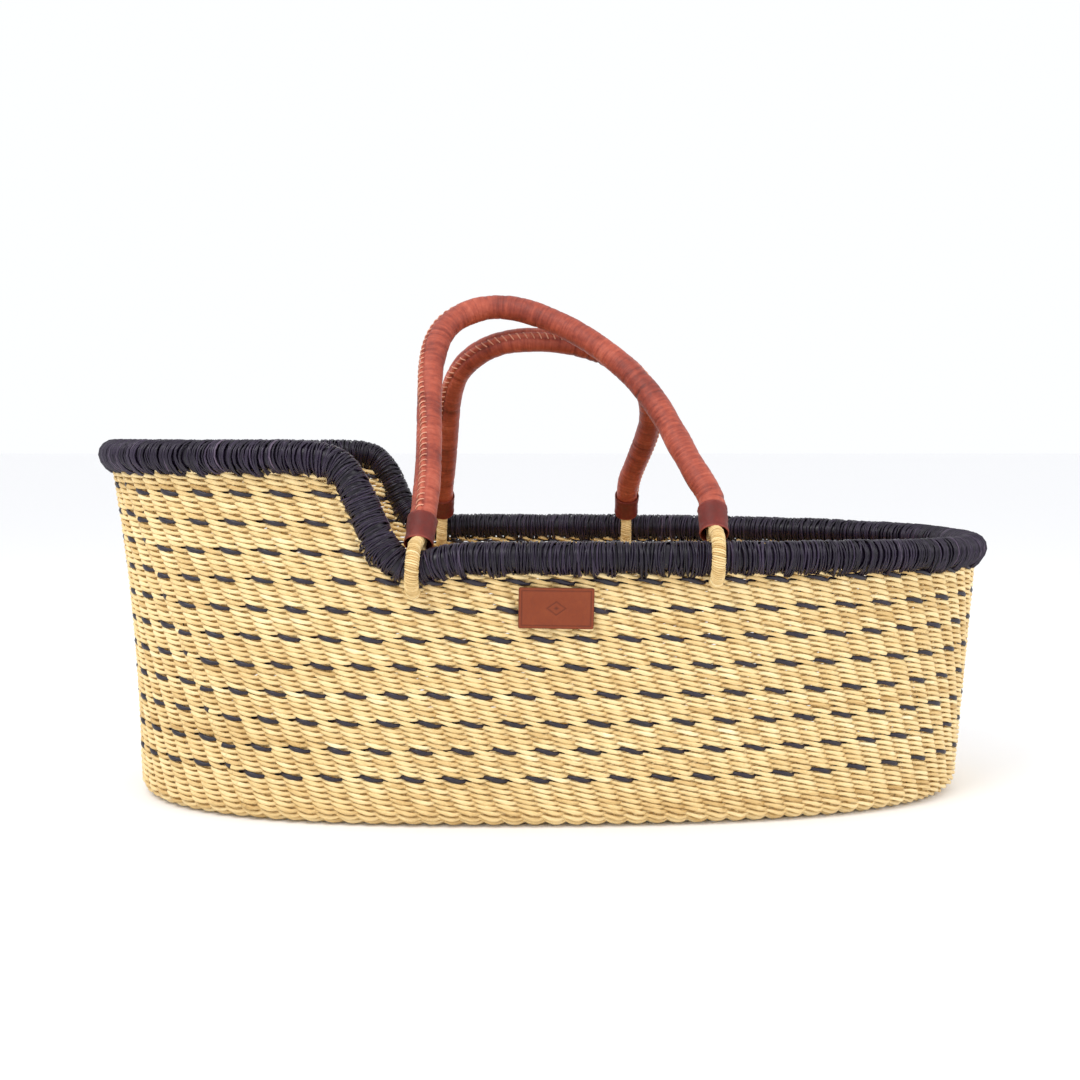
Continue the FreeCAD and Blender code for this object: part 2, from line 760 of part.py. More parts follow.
def handle(plan):
    name = plan.name + "_handle"
    arch = hide(name + "_arch", curveThrough(plan.curvePoints()))
    start = plan.legPoint("left", size("sleeve_start"))
    direction = (plan.legPoint("left", size("leg_straight_end")) - start).normalize()
    core = sweepCircle(name + "_core_bar", arch, "Sizes.handle_core_radius", start, direction)
    keep(core, name + "_core", plan.placement)
    outside = sweepCircle(name + "_sleeve_bar", arch, "Sizes.sleeve_radius", start, direction)
    bore = sweepCircle(name + "_bore_bar", arch, "Sizes.handle_core_radius + Sizes.sleeve_clearance", start, direction)
    keep(boolean("Cut", name + "_sleeve_tube", outside, bore), name + "_sleeve", plan.placement)
    seam = hide(name + "_seam_line", curveThrough(lacingPoints(plan, arch)))
    edge = seam.Shape.Edges[0]
    seamStart = edge.valueAt(edge.FirstParameter)
    seamDirection = edge.tangentAt(edge.FirstParameter)
    lacing = sweepCircle(name + "_lacing_bar", seam, "Sizes.lacing_radius", seamStart, seamDirection)
    keep(lacing, name + "_lacing", plan.placement)
    for end in ("left", "right"):
        cuff(plan, end)
        loopName = "%s_%s_loop" % (name, end)
        path = hide(loopName + "_path", loopPath(plan, end))
        top = plan.legPoint(end, size("loop_leg_top"), loopLegOffset)
        below = plan.legPoint(end, size("loop_leg_top") - 1, loopLegOffset)
        loop = sweepCircle(loopName + "_bar", path, "Sizes.loop_radius", top, (below - top).normalize())
        keep(loop, loopName, plan.placement)


# ---------------------------------------------------------------- build everything
weaveLayers()
for number in range(accentCount):
    accentCourse(number)
stakes()
baseCrossStakes()
rim()
labelPatch()
for plan in handlePlans:
    handle(plan)
doc.recompute()

# ---------------------------------------------------------------- check and write
for item in doc.Objects:
    if "Invalid" in item.State or "Error" in item.State:
        raise RuntimeError("failed feature: " + item.Label)
for part in subparts:
    if part.Shape.isNull() or not part.Shape.isValid():
        raise RuntimeError("bad shape: " + part.Label)
for part in subparts:
    part.Shape.exportStep("parts/%s.step" % part.Label)
    box = part.Shape.BoundBox
    print("%-26s solids %3d volume %10.0f  x %7.1f %7.1f  y %7.1f %7.1f  z %7.1f %7.1f" % (
        part.Label, len(part.Shape.Solids), part.Shape.Volume,
        box.XMin, box.XMax, box.YMin, box.YMax, box.ZMin, box.ZMax))
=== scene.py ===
import bpy
import bmesh
import math
import random
import numpy as np
from mathutils import Matrix, Vector


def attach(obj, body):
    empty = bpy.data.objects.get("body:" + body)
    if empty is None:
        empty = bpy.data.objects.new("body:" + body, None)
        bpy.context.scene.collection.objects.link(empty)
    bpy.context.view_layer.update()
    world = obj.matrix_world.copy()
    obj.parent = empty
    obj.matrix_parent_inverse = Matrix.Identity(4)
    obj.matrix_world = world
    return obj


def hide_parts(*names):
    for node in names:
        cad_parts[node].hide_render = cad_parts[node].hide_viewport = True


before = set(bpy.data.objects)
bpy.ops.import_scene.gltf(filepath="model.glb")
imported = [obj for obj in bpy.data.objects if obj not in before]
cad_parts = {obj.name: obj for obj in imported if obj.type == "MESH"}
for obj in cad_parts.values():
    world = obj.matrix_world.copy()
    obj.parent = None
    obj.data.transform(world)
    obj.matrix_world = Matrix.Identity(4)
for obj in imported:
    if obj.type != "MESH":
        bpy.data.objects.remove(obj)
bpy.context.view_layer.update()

random.seed(11)
dice = np.random.default_rng(11)

# the tub's shape, in metres, as the CAD part has it
tub = {
    "widestStation": -0.0485,
    "baseHalfWidth": 0.190,
    "sideFlare": 0.105,
    "baseHeadLength": 0.335,
    "headCurl": 0.0215,
    "headCurlPower": 2.4,
    "baseFootLength": 0.4385,
    "footFlare": 0.067,
    "headRoundness": 2.5,
    "footRoundness": 2.45,
    "cornerInset": 0.015,       # where the floor's flat part begins, from the outline
    "cornerHeight": 0.0135,     # where the upright wall begins
    "bendRadius": 0.009,        # of the wall's middle round the bottom edge
    "midInset": 0.006,          # the wall's middle, from the outline
    "footRimHeight": 0.230,
    "footRimFall": 0.005,
    "headRise": 0.082,
    "frontStep": -0.147,
    "backStep": -0.164,
    "stepRun": 0.018,
    "dipDepth": 0.010,
    "dipStation": -0.112,
    "dipRun": 0.026,
    "wallTopDrop": 0.0111,      # the wall's top edge, below the rim's centre line
}
front, back = -1, 1


def planHalfSizes(height):
    climb = np.maximum(height, 0.0)
    headTop = tub["footRimHeight"] + tub["headRise"]
    width = tub["baseHalfWidth"] + tub["sideFlare"] * climb
    head = tub["baseHeadLength"] + tub["headCurl"] * (climb / headTop) ** tub["headCurlPower"]
    foot = tub["baseFootLength"] + tub["footFlare"] * climb
    return width, head, foot


def planPoint(height, angle, inset):
    # x and y of the egg shaped plan; angle 0 is the foot end
    width, head, foot = planHalfSizes(height)
    c, s = np.cos(angle), np.sin(angle)
    length = np.where(c >= 0, foot, head) - inset
    power = 2.0 / np.where(c >= 0, tub["footRoundness"], tub["headRoundness"])
    x = tub["widestStation"] + np.sign(c) * length * np.abs(c) ** power
    y = np.sign(s) * (width - inset) * np.abs(s) ** power
    return x, y


def sidePoint(x, height, side, inset):
    width, head, foot = planHalfSizes(height)
    reach = x - tub["widestStation"]
    length = (foot if reach >= 0 else head) - inset
    roundness = tub["footRoundness"] if reach >= 0 else tub["headRoundness"]
    share = max(0.0, 1.0 - (abs(reach) / length) ** roundness)
    return Vector((x, side * (width - inset) * share ** (1.0 / roundness), height))


def rimHeight(x, isFront):
    station = np.where(isFront, tub["frontStep"], tub["backStep"])
    step = 0.5 * tub["headRise"] * (1.0 - np.tanh((x - station) / tub["stepRun"]))
    fall = tub["footRimFall"] * (np.maximum(x, 0.0) / tub["baseFootLength"]) ** 2
    dip = tub["dipDepth"] * np.exp(-(((x - tub["dipStation"]) / tub["dipRun"]) ** 2))
    return tub["footRimHeight"] + step - fall - np.where(isFront, dip, 0.0)


def shareTable():
    # plan angle against the share of the way round the base
    angles = np.linspace(0, 2 * math.pi, 60001)
    x, y = planPoint(0.0, angles, 0.0)
    steps = np.hypot(np.diff(x), np.diff(y))
    travelled = np.concatenate(([0.0], np.cumsum(steps)))
    return travelled / travelled[-1], angles, travelled[-1]


tableShares, tableAngles, baseOutline = shareTable()


def angleAt(share):
    return np.interp(np.mod(share, 1.0), tableShares, tableAngles)


def shellPoint(angle, climb, proud):
    # climb runs up the wall's middle from the bottom edge, and below 0 round it and over the floor
    turn = np.clip(-climb / tub["bendRadius"], 0.0, 0.5 * math.pi)
    across = np.maximum(-climb - 0.5 * math.pi * tub["bendRadius"], 0.0)
    reach = tub["bendRadius"] + proud
    inset = tub["cornerInset"] - reach * np.cos(turn) + across
    height = tub["cornerHeight"] + np.maximum(climb, 0.0) - reach * np.sin(turn)
    x, y = planPoint(height, angle, inset)
    return np.stack([x, y, height], axis=-1)


def rimTrack():
    # evenly spaced points of the rim's centre line with their along, outward and down directions
    angles = 2 * math.pi * (np.arange(14400) + 0.5) / 14400
    isFront = np.sin(angles) < 0
    height = np.full_like(angles, tub["footRimHeight"])
    for _ in range(14):
        x, y = planPoint(height, angles, tub["midInset"])
        height = rimHeight(x, isFront)
    points = np.stack([x, y, height], axis=-1)
    closed = np.vstack([points, points[:1]])
    lengths = np.concatenate(([0.0], np.cumsum(np.linalg.norm(np.diff(closed, axis=0), axis=1))))
    count = 4300
    at = lengths[-1] * np.arange(count) / count
    even = np.stack([np.interp(at, lengths, closed[:, k]) for k in range(3)], axis=-1)
    along = np.roll(even, -6, axis=0) - np.roll(even, 6, axis=0)
    along /= np.linalg.norm(along, axis=1)[:, None]
    outward = np.stack([along[:, 1], -along[:, 0], np.zeros(count)], axis=-1)
    outward /= np.linalg.norm(outward, axis=1)[:, None]
    return even, along, outward, np.cross(along, outward), lengths[-1]


rimPoints, rimAlong, rimOutward, rimDown, rimLength = rimTrack()


def wallTopTable():
    ends = rimPoints + rimDown * tub["wallTopDrop"]
    width, head, foot = planHalfSizes(ends[:, 2])
    reach = ends[:, 0] - tub["widestStation"]
    length = np.where(reach >= 0, foot, head) - tub["midInset"]
    roundness = np.where(reach >= 0, tub["footRoundness"], tub["headRoundness"])
    c = np.sign(reach) * np.abs(reach / length) ** (0.5 * roundness)
    s = np.sign(ends[:, 1]) * np.abs(ends[:, 1] / (width - tub["midInset"])) ** (0.5 * roundness)
    angles = np.mod(np.arctan2(s, c), 2 * math.pi)
    order = np.argsort(angles)
    return angles[order], ends[order, 2]


topAngles, topHeights = wallTopTable()


def wallTop(angle):
    return np.interp(np.mod(angle, 2 * math.pi), topAngles, topHeights, period=2 * math.pi)


# strands as curves, made into meshes with a tone for each stretch
def profileCurve(name, halfAcross, halfUp, sides):
    outline = bpy.data.curves.new(name, "CURVE")
    outline.dimensions = "2D"
    spline = outline.splines.new("POLY")
    spline.points.add(sides - 1)
    for k in range(sides):
        turn = -2 * math.pi * k / sides
        spline.points[k].co = (halfAcross * math.cos(turn), halfUp * math.sin(turn), 0, 1)
    spline.use_cyclic_u = True
    holder = bpy.data.objects.new(name, outline)
    bpy.context.scene.collection.objects.link(holder)
    return holder


def setTone(mesh, values):
    # the tone picks a colour from the material's range at each vertex
    tone = mesh.attributes.get("tone") or mesh.attributes.new("tone", "FLOAT", "POINT")
    tone.data.foreach_set("value", np.ravel(values).astype(np.float32))


def strandMesh(name, runs, profile, twist="Z_UP", cyclic=False):
    # runs are (points, radii, tones); every ring of the mesh has the profile's own number of vertices
    curve = bpy.data.curves.new(name, "CURVE")
    curve.dimensions = "3D"
    curve.bevel_mode = "OBJECT"
    curve.bevel_object = profile
    curve.twist_mode = twist
    for points, radii, tones in runs:
        spline = curve.splines.new("POLY")
        spline.points.add(len(points) - 1)
        spline.points.foreach_set("co", np.column_stack([points, np.ones(len(points))]).ravel())
        spline.points.foreach_set("radius", radii)
        spline.use_cyclic_u = cyclic
    holder = bpy.data.objects.new(name, curve)
    bpy.context.scene.collection.objects.link(holder)
    bpy.context.view_layer.update()
    mesh = bpy.data.meshes.new_from_object(holder.evaluated_get(bpy.context.evaluated_depsgraph_get()))
    bpy.data.objects.remove(holder)
    bpy.data.curves.remove(curve)
    sides = len(profile.data.splines[0].points)
    setTone(mesh, np.repeat(np.concatenate([tones for points, radii, tones in runs]), sides))
    mesh.name = name
    return mesh


def addPiece(name, mesh, body, slotName, material, *nodes):
    piece = bpy.data.objects.new(name, mesh)
    bpy.context.scene.collection.objects.link(piece)
    mesh.materials.clear()
    mesh.materials.append(material)
    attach(piece, body)
    if nodes:
        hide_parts(*nodes)
    return piece


def joinMeshes(name, *meshes):
    bm = bmesh.new()
    for mesh in meshes:
        bm.from_mesh(mesh)
        bpy.data.meshes.remove(mesh)
    joined = bpy.data.meshes.new(name)
    bm.to_mesh(joined)
    bm.free()
    return joined


def smoothNoise(at, spacing, seed):
    # soft random line with a value of -1 to 1 at each spacing
    table = np.random.default_rng(seed).uniform(-1, 1, 4096)
    place = np.asarray(at) / spacing
    cell = np.floor(place).astype(int)
    share = place - cell
    share = share * share * (3 - 2 * share)
    return table[cell % 4096] * (1 - share) + table[(cell + 1) % 4096] * share


# materials
def newGroup(name, inputs, outputs):
    group = bpy.data.node_groups.new(name, "ShaderNodeTree")
    for label, kind, value in inputs:
        socket = group.interface.new_socket(label, in_out="INPUT", socket_type=kind)
        if value is not None:
            socket.default_value = value
    for label, kind in outputs:
        group.interface.new_socket(label, in_out="OUTPUT", socket_type=kind)
    return group, group.nodes.new("NodeGroupInput"), group.nodes.new("NodeGroupOutput")


def mathNode(tree, operation, first, second):
    node = tree.nodes.new("ShaderNodeMath")
    node.operation = operation
    for socket, value in zip(node.inputs, (first, second)):
        if isinstance(value, (int, float)):
            socket.default_value = value
        else:
            tree.links.new(value, socket)
    return node.outputs[0]


def swingAbout(tree, value, strength):
    # a texture's value of 0 to 1, made to swing about nothing
    return mathNode(tree, "MULTIPLY", mathNode(tree, "SUBTRACT", value, 0.5), strength)


def fibreGroup():
    # fine lines that run along a strand, from its UV map and its own tone
    group, source, result = newGroup(
        "strandFibre",
        [("UV", "NodeSocketVector", None), ("Tone", "NodeSocketFloat", 0.5),
         ("Along", "NodeSocketFloat", 60.0), ("Around", "NodeSocketFloat", 8.0)],
        [("Fibre", "NodeSocketFloat")])
    split = group.nodes.new("ShaderNodeSeparateXYZ")
    join = group.nodes.new("ShaderNodeCombineXYZ")
    noise = group.nodes.new("ShaderNodeTexNoise")
    noise.inputs["Scale"].default_value = 1.0
    noise.inputs["Detail"].default_value = 4.0
    noise.inputs["Roughness"].default_value = 0.65
    links = group.links
    links.new(source.outputs["UV"], split.inputs[0])
    links.new(mathNode(group, "MULTIPLY", split.outputs["X"], source.outputs["Along"]), join.inputs["X"])
    links.new(mathNode(group, "MULTIPLY", split.outputs["Y"], source.outputs["Around"]), join.inputs["Y"])
    links.new(mathNode(group, "MULTIPLY", source.outputs["Tone"], 43.0), join.inputs["Z"])
    links.new(join.outputs[0], noise.inputs["Vector"])
    links.new(noise.outputs["Fac"], result.inputs["Fibre"])
    return group


def mottleGroup():
    # soft clouds over the whole object
    group, source, result = newGroup(
        "mottle", [("Vector", "NodeSocketVector", None), ("Scale", "NodeSocketFloat", 20.0)],
        [("Cloud", "NodeSocketFloat")])
    noise = group.nodes.new("ShaderNodeTexNoise")
    noise.inputs["Detail"].default_value = 3.0
    group.links.new(source.outputs["Vector"], noise.inputs["Vector"])
    group.links.new(source.outputs["Scale"], noise.inputs["Scale"])
    group.links.new(noise.outputs["Fac"], result.inputs["Cloud"])
    return group


def grainGroup():
    # leather: small cells with creases between them, and wrinkles
    group, source, result = newGroup(
        "leatherGrain", [("Vector", "NodeSocketVector", None), ("Scale", "NodeSocketFloat", 900.0)],
        [("Grain", "NodeSocketFloat"), ("Crease", "NodeSocketFloat")])
    cells = group.nodes.new("ShaderNodeTexVoronoi")
    cells.feature = "DISTANCE_TO_EDGE"
    noise = group.nodes.new("ShaderNodeTexNoise")
    noise.inputs["Detail"].default_value = 6.0
    noise.inputs["Distortion"].default_value = 0.6
    group.links.new(source.outputs["Vector"], cells.inputs["Vector"])
    group.links.new(source.outputs["Scale"], cells.inputs["Scale"])
    group.links.new(source.outputs["Vector"], noise.inputs["Vector"])
    group.links.new(mathNode(group, "MULTIPLY", source.outputs["Scale"], 0.22), noise.inputs["Scale"])
    group.links.new(cells.outputs["Distance"], result.inputs["Grain"])
    group.links.new(noise.outputs["Fac"], result.inputs["Crease"])
    return group


strandFibre, mottle, leatherGrain = fibreGroup(), mottleGroup(), grainGroup()


def ramp(tree, value, stops):
    node = tree.nodes.new("ShaderNodeValToRGB")
    elements = node.color_ramp.elements
    while len(elements) < len(stops):
        elements.new(0.5)
    for element, (place, colour) in zip(elements, stops):
        element.position = place
        element.color = (*colour, 1)
    tree.links.new(value, node.inputs[0])
    return node.outputs[0]


def bumpInto(tree, shader, height, strength, distance):
    node = tree.nodes.new("ShaderNodeBump")
    node.inputs["Strength"].default_value = strength
    node.inputs["Distance"].default_value = distance
    tree.links.new(height, node.inputs["Height"])
    tree.links.new(node.outputs["Normal"], shader.inputs["Normal"])


def grassMaterial(name, stops, settings):
    material = bpy.data.materials.new(name)
    material.use_nodes = True
    tree = material.node_tree
    shader = tree.nodes["Principled BSDF"]
    shader.inputs["Roughness"].default_value = settings["roughness"]
    shader.inputs["Specular IOR Level"].default_value = settings["gloss"]
    uv = tree.nodes.new("ShaderNodeUVMap")
    tone = tree.nodes.new("ShaderNodeAttribute")
    tone.attribute_name = "tone"
    place = tree.nodes.new("ShaderNodeTexCoord")
    fibre = tree.nodes.new("ShaderNodeGroup")
    fibre.node_tree = strandFibre
    fibre.inputs["Along"].default_value = settings["along"]
    fibre.inputs["Around"].default_value = settings["around"]
    cloud = tree.nodes.new("ShaderNodeGroup")
    cloud.node_tree = mottle
    cloud.inputs["Scale"].default_value = settings["cloudScale"]
    tree.links.new(uv.outputs[0], fibre.inputs["UV"])
    tree.links.new(tone.outputs["Fac"], fibre.inputs["Tone"])
    tree.links.new(place.outputs["Object"], cloud.inputs["Vector"])
    streak = swingAbout(tree, fibre.outputs[0], settings["streak"])
    drift = swingAbout(tree, cloud.outputs[0], settings["drift"])
    mixed = mathNode(tree, "ADD", mathNode(tree, "ADD", tone.outputs["Fac"], streak), drift)
    tree.links.new(ramp(tree, mixed, stops), shader.inputs["Base Color"])
    bumpInto(tree, shader, fibre.outputs[0], settings["bump"], 0.0006)
    return material


def leatherMaterial(name, stops, settings):
    material = bpy.data.materials.new(name)
    material.use_nodes = True
    tree = material.node_tree
    shader = tree.nodes["Principled BSDF"]
    shader.inputs["Specular IOR Level"].default_value = settings["gloss"]
    place = tree.nodes.new("ShaderNodeTexCoord")
    grain = tree.nodes.new("ShaderNodeGroup")
    grain.node_tree = leatherGrain
    grain.inputs["Scale"].default_value = settings["grainScale"]
    cloud = tree.nodes.new("ShaderNodeGroup")
    cloud.node_tree = mottle
    cloud.inputs["Scale"].default_value = settings["cloudScale"]
    tone = tree.nodes.new("ShaderNodeAttribute")
    tone.attribute_name = "tone"
    for group in (grain, cloud):
        tree.links.new(place.outputs["Object"], group.inputs["Vector"])
    drift = swingAbout(tree, cloud.outputs[0], settings["drift"])
    crease = swingAbout(tree, grain.outputs["Crease"], settings["streak"])
    uv = tree.nodes.new("ShaderNodeUVMap")
    wrinkle = tree.nodes.new("ShaderNodeGroup")
    wrinkle.node_tree = strandFibre
    wrinkle.inputs["Along"].default_value = 330.0
    wrinkle.inputs["Around"].default_value = 2.6
    tree.links.new(uv.outputs[0], wrinkle.inputs["UV"])
    # the folds go into the colour as well as the bump: painted shade in their hollows and painted light on
    # their tops
    foldsAndPaintedShade = swingAbout(tree, wrinkle.outputs[0], settings["wrinkle"])
    crease = mathNode(tree, "ADD", crease, foldsAndPaintedShade)
    mixed = mathNode(tree, "ADD", mathNode(tree, "ADD", tone.outputs["Fac"], drift), crease)
    tree.links.new(ramp(tree, mixed, stops), shader.inputs["Base Color"])
    dull = mathNode(tree, "MULTIPLY", grain.outputs["Crease"], 0.25)
    tree.links.new(mathNode(tree, "ADD", dull, settings["roughness"]), shader.inputs["Roughness"])
    creaseHeight = mathNode(tree, "MULTIPLY", grain.outputs["Crease"], 1.6)
    height = mathNode(tree, "ADD", grain.outputs["Grain"], creaseHeight)
    height = mathNode(tree, "ADD", height, mathNode(tree, "MULTIPLY", foldsAndPaintedShade, 4.0))
    bumpInto(tree, shader, height, settings["bump"], 0.0005)
    return material


strawStops = [(0.0, (0.30, 0.16, 0.050)), (0.25, (0.59, 0.38, 0.14)), (0.55, (0.82, 0.60, 0.28)),
              (0.8, (0.93, 0.74, 0.40)), (1.0, (0.98, 0.87, 0.59))]
navyStops = [(0.0, (0.005, 0.003, 0.007)), (0.45, (0.014, 0.009, 0.022)), (0.8, (0.036, 0.025, 0.050)),
             (1.0, (0.10, 0.075, 0.12))]
rimStops = [(0.0, (0.003, 0.0015, 0.005)), (0.45, (0.011, 0.0055, 0.018)), (0.8, (0.034, 0.021, 0.048)),
            (1.0, (0.12, 0.085, 0.13))]
redStops = [(0.0, (0.10, 0.011, 0.005)), (0.35, (0.25, 0.036, 0.018)), (0.6, (0.40, 0.072, 0.036)),
            (1.0, (0.62, 0.17, 0.10))]
darkRedStops = [(0.0, (0.055, 0.007, 0.004)), (0.5, (0.15, 0.015, 0.009)), (1.0, (0.36, 0.075, 0.05))]
tanStops = [(0.0, (0.10, 0.016, 0.004)), (0.5, (0.205, 0.036, 0.008)), (1.0, (0.30, 0.075, 0.022))]
threadStops = [(0.0, (0.40, 0.12, 0.07)), (1.0, (0.78, 0.40, 0.27))]
strawSettings = {"roughness": 0.5, "gloss": 0.35, "along": 110.0, "around": 9.0, "cloudScale": 9.0,
                 "streak": 0.75, "drift": 0.25, "bump": 0.55}
strawGrass = grassMaterial("strawGrass", strawStops, strawSettings)
navyGrass = grassMaterial("navyGrass", navyStops, strawSettings | {"roughness": 0.42, "gloss": 0.5})
rimGrass = grassMaterial("rimGrass", rimStops, strawSettings | {
    "roughness": 0.36, "gloss": 0.38, "along": 7.0, "around": 5.0, "cloudScale": 14.0})
loopGrass = grassMaterial("loopGrass", strawStops, strawSettings | {"along": 5.0, "around": 5.0})
redLeather = leatherMaterial("redLeather", redStops, {
    "roughness": 0.36, "gloss": 0.42, "grainScale": 900.0, "cloudScale": 30.0,
    "drift": 0.7, "streak": 0.5, "bump": 0.5, "wrinkle": 0.7})
darkLeather = leatherMaterial("darkLeather", darkRedStops, {
    "roughness": 0.40, "gloss": 0.35, "grainScale": 900.0, "cloudScale": 60.0,
    "drift": 0.7, "streak": 0.4, "bump": 0.4, "wrinkle": 0.0})
tanLeather = leatherMaterial("tanLeather", tanStops, {
    "roughness": 0.5, "gloss": 0.35, "grainScale": 1100.0, "cloudScale": 50.0,
    "drift": 0.35, "streak": 0.25, "bump": 0.3, "wrinkle": 0.0})
laceThread = leatherMaterial("laceThread", threadStops, {
    "roughness": 0.5, "gloss": 0.3, "grainScale": 1500.0, "cloudScale": 60.0,
    "drift": 0.3, "streak": 0.2, "bump": 0.2, "wrinkle": 0.0})
print("materials made")

# the twined wall: one pair of strands spirals up round the stakes
weave = {
    "stakeSpacing": 0.0177,
    "coursePitch": 0.00478,
    "firstAccentHeight": 0.0445,
    "firstAccentTurn": 9,
    "accentEvery": 5,
    "accentCount": 11,
    "leanPerCourse": 0.112,     # stakes that the columns lean by, in one course
    "jogShare": 0.616,          # where the courses step up, as a share of the way round
    "samplesPerStake": 6,
    "swing": 0.0034,            # out and in, from the wall's middle
    "sway": 0.00170,            # up and down, where the two strands cross
    "spliceLength": 16.0,       # stakes between one straw's end and the next one's start
    "turnsPerPiece": 10,
}
stakeCount = int(round(baseOutline / weave["stakeSpacing"]))
firstClimb = (weave["firstAccentHeight"] - tub["cornerHeight"]
              - (weave["firstAccentTurn"] + 0.5) * weave["coursePitch"])
jogStake = round(weave["jogShare"] * stakeCount)
strandProfile = profileCurve("strandProfile", 0.00125, 0.00205, 6)


def shareOfStake(stake, turn):
    return (stake + jogStake + 0.5 - weave["leanPerCourse"] * turn) / stakeCount


def strawTones(count):
    tones = dice.normal(0.60, 0.075, count)
    tones[dice.random(count) < 0.05] -= 0.2
    return np.clip(tones, 0.05, 0.98)


def twinedRun(strand, turn):
    # one strand of the pair for one turn, cut where it would stand above the wall's top edge
    samples = stakeCount * weave["samplesPerStake"]
    passed = turn * stakeCount + np.arange(samples + 1) / weave["samplesPerStake"]
    turns = passed / stakeCount
    angle = angleAt(shareOfStake(passed, turns))
    phase = math.pi * (passed + strand)
    noise = 900 * strand + 7
    sway = weave["sway"] * np.where(turns < 3, 0.75, 1.0)
    climb = firstClimb + weave["coursePitch"] * turns - sway * np.sin(phase)
    climb = climb + 0.00022 * smoothNoise(passed, 1.3, noise) + 0.0004 * smoothNoise(passed, 9.0, noise + 1)
    swing = weave["swing"] * (1 - 0.35 * np.clip(-climb / tub["bendRadius"], 0, 1))
    proud = swing * np.sign(np.cos(phase)) * np.abs(np.cos(phase)) ** 0.7
    proud = proud + 0.00016 * smoothNoise(passed, 1.0, noise + 2)
    radii = 0.88 + 0.14 * np.cos(2 * phase) + 0.10 * smoothNoise(passed, 0.9, noise + 3)
    tones = toneTables[strand][np.floor(passed / weave["spliceLength"] + 0.5 * strand).astype(int)]
    tones = tones + 0.13 * smoothNoise(passed, 1.1, noise + 4)
    points = shellPoint(angle, climb, proud)
    inside = points[:, 2] < wallTop(angle)
    edges = np.flatnonzero(np.diff(np.concatenate(([0], inside.astype(int), [0]))))
    for start, end in zip(edges[::2], edges[1::2]):
        if end - start > 3:
            yield points[start:end], radii[start:end], tones[start:end]


highestClimb = tub["footRimHeight"] + tub["headRise"] - tub["cornerHeight"]
topTurn = int((highestClimb - firstClimb) / weave["coursePitch"])
toneTables = [strawTones(int((topTurn + 2) * stakeCount / weave["spliceLength"]) + 2) for strand in range(2)]
accentTurns = [weave["firstAccentTurn"] + weave["accentEvery"] * k for k in range(weave["accentCount"])]


def wallWeave():
    band = []
    number = 1
    for turn in range(-1, topTurn + 1):
        for strand in range(2):
            if turn in accentTurns and strand == 0:
                continue
            band.extend(twinedRun(strand, turn))
        if turn % weave["turnsPerPiece"] == weave["turnsPerPiece"] - 1 or turn == topTurn:
            mesh = strandMesh("wallWeave%d" % number, band, strandProfile)
            addPiece(mesh.name, mesh, "basket", "natural_weave", strawGrass, "outer_weave", "inner_weave")
            band = []
            number += 1


def accentStrands():
    for k, turn in enumerate(accentTurns):
        runs = [(points, radii * 1.12, 0.1 + 0.45 * tones) for points, radii, tones in twinedRun(0, turn)]
        name = "accentStrand%02d" % (k + 1)
        addPiece(name, strandMesh(name, runs, strandProfile), "basket", "dyed_weave", navyGrass,
                 "accent_course_%02d" % (k + 1))


wallWeave()
accentStrands()
print("wall woven:", stakeCount, "stakes,", topTurn + 1, "courses")

# the floor: oval courses inside one another
floor = {"firstInset": 0.0205, "pitch": 0.0049, "coursesPerStep": 8, "lastInset": 0.187,
         "pointsPerPiece": 14000}
floorProfile = profileCurve("floorProfile", 0.00205, 0.00115, 6)


def floorWeave():
    runs = []
    stakesHere = stakeCount
    inset = floor["firstInset"]
    course = 0
    number = 1
    angles = np.linspace(0, 2 * math.pi, 8001)
    while inset < floor["lastInset"]:
        x, y = planPoint(0.0, angles, inset)
        lengths = np.concatenate(([0.0], np.cumsum(np.hypot(np.diff(x), np.diff(y)))))
        if course % floor["coursesPerStep"] == 0:
            stakesHere = 2 * round(0.5 * lengths[-1] / weave["stakeSpacing"])
        passed = np.arange(stakesHere * weave["samplesPerStake"]) / weave["samplesPerStake"]
        around = np.interp(passed / stakesHere, lengths / lengths[-1], angles)
        for strand in range(2):
            phase = math.pi * (passed + strand + 0.11 * course)
            sideways = inset + weave["sway"] * np.sin(phase)
            x, y = planPoint(0.0, around, sideways)
            height = tub["cornerHeight"] - tub["bendRadius"] + weave["swing"] * np.cos(phase)
            radii = 0.95 + 0.08 * np.cos(2 * phase) + 0.1 * smoothNoise(passed, 0.9, 40 * course + strand)
            tones = strawTones(40)[(passed // weave["spliceLength"]).astype(int)]
            runs.append((np.stack([x, y, height], axis=-1), radii, tones))
        inset += floor["pitch"]
        course += 1
        full = sum(len(points) for points, radii, tones in runs) > floor["pointsPerPiece"]
        if full or inset >= floor["lastInset"]:
            mesh = strandMesh("floorWeave%d" % number, runs, floorProfile, "Z_UP", True)
            addPiece(mesh.name, mesh, "basket", "natural_weave", strawGrass, "outer_weave", "inner_weave")
            runs = []
            number += 1


floorWeave()
print("floor woven")

# stakes inside the wall, leaning as the columns of stitches do
stakes = {"lowest": -0.0261, "highest": 0.295, "samples": 44, "underTop": 0.001}
stakeProfile = profileCurve("stakeProfile", 0.0013, 0.0017, 6)


def stakeRun(stake):
    rise = np.linspace(stakes["lowest"], stakes["highest"], stakes["samples"])
    turns = (rise - firstClimb) / weave["coursePitch"]
    angle = angleAt(shareOfStake(stake, turns))
    points = shellPoint(angle, rise, 0.0)
    keep = points[:, 2] < wallTop(angle) - stakes["underTop"]
    tones = np.full(keep.sum(), 0.5 + 0.2 * math.sin(stake * 2.4))
    return points[keep], np.ones(keep.sum()), tones


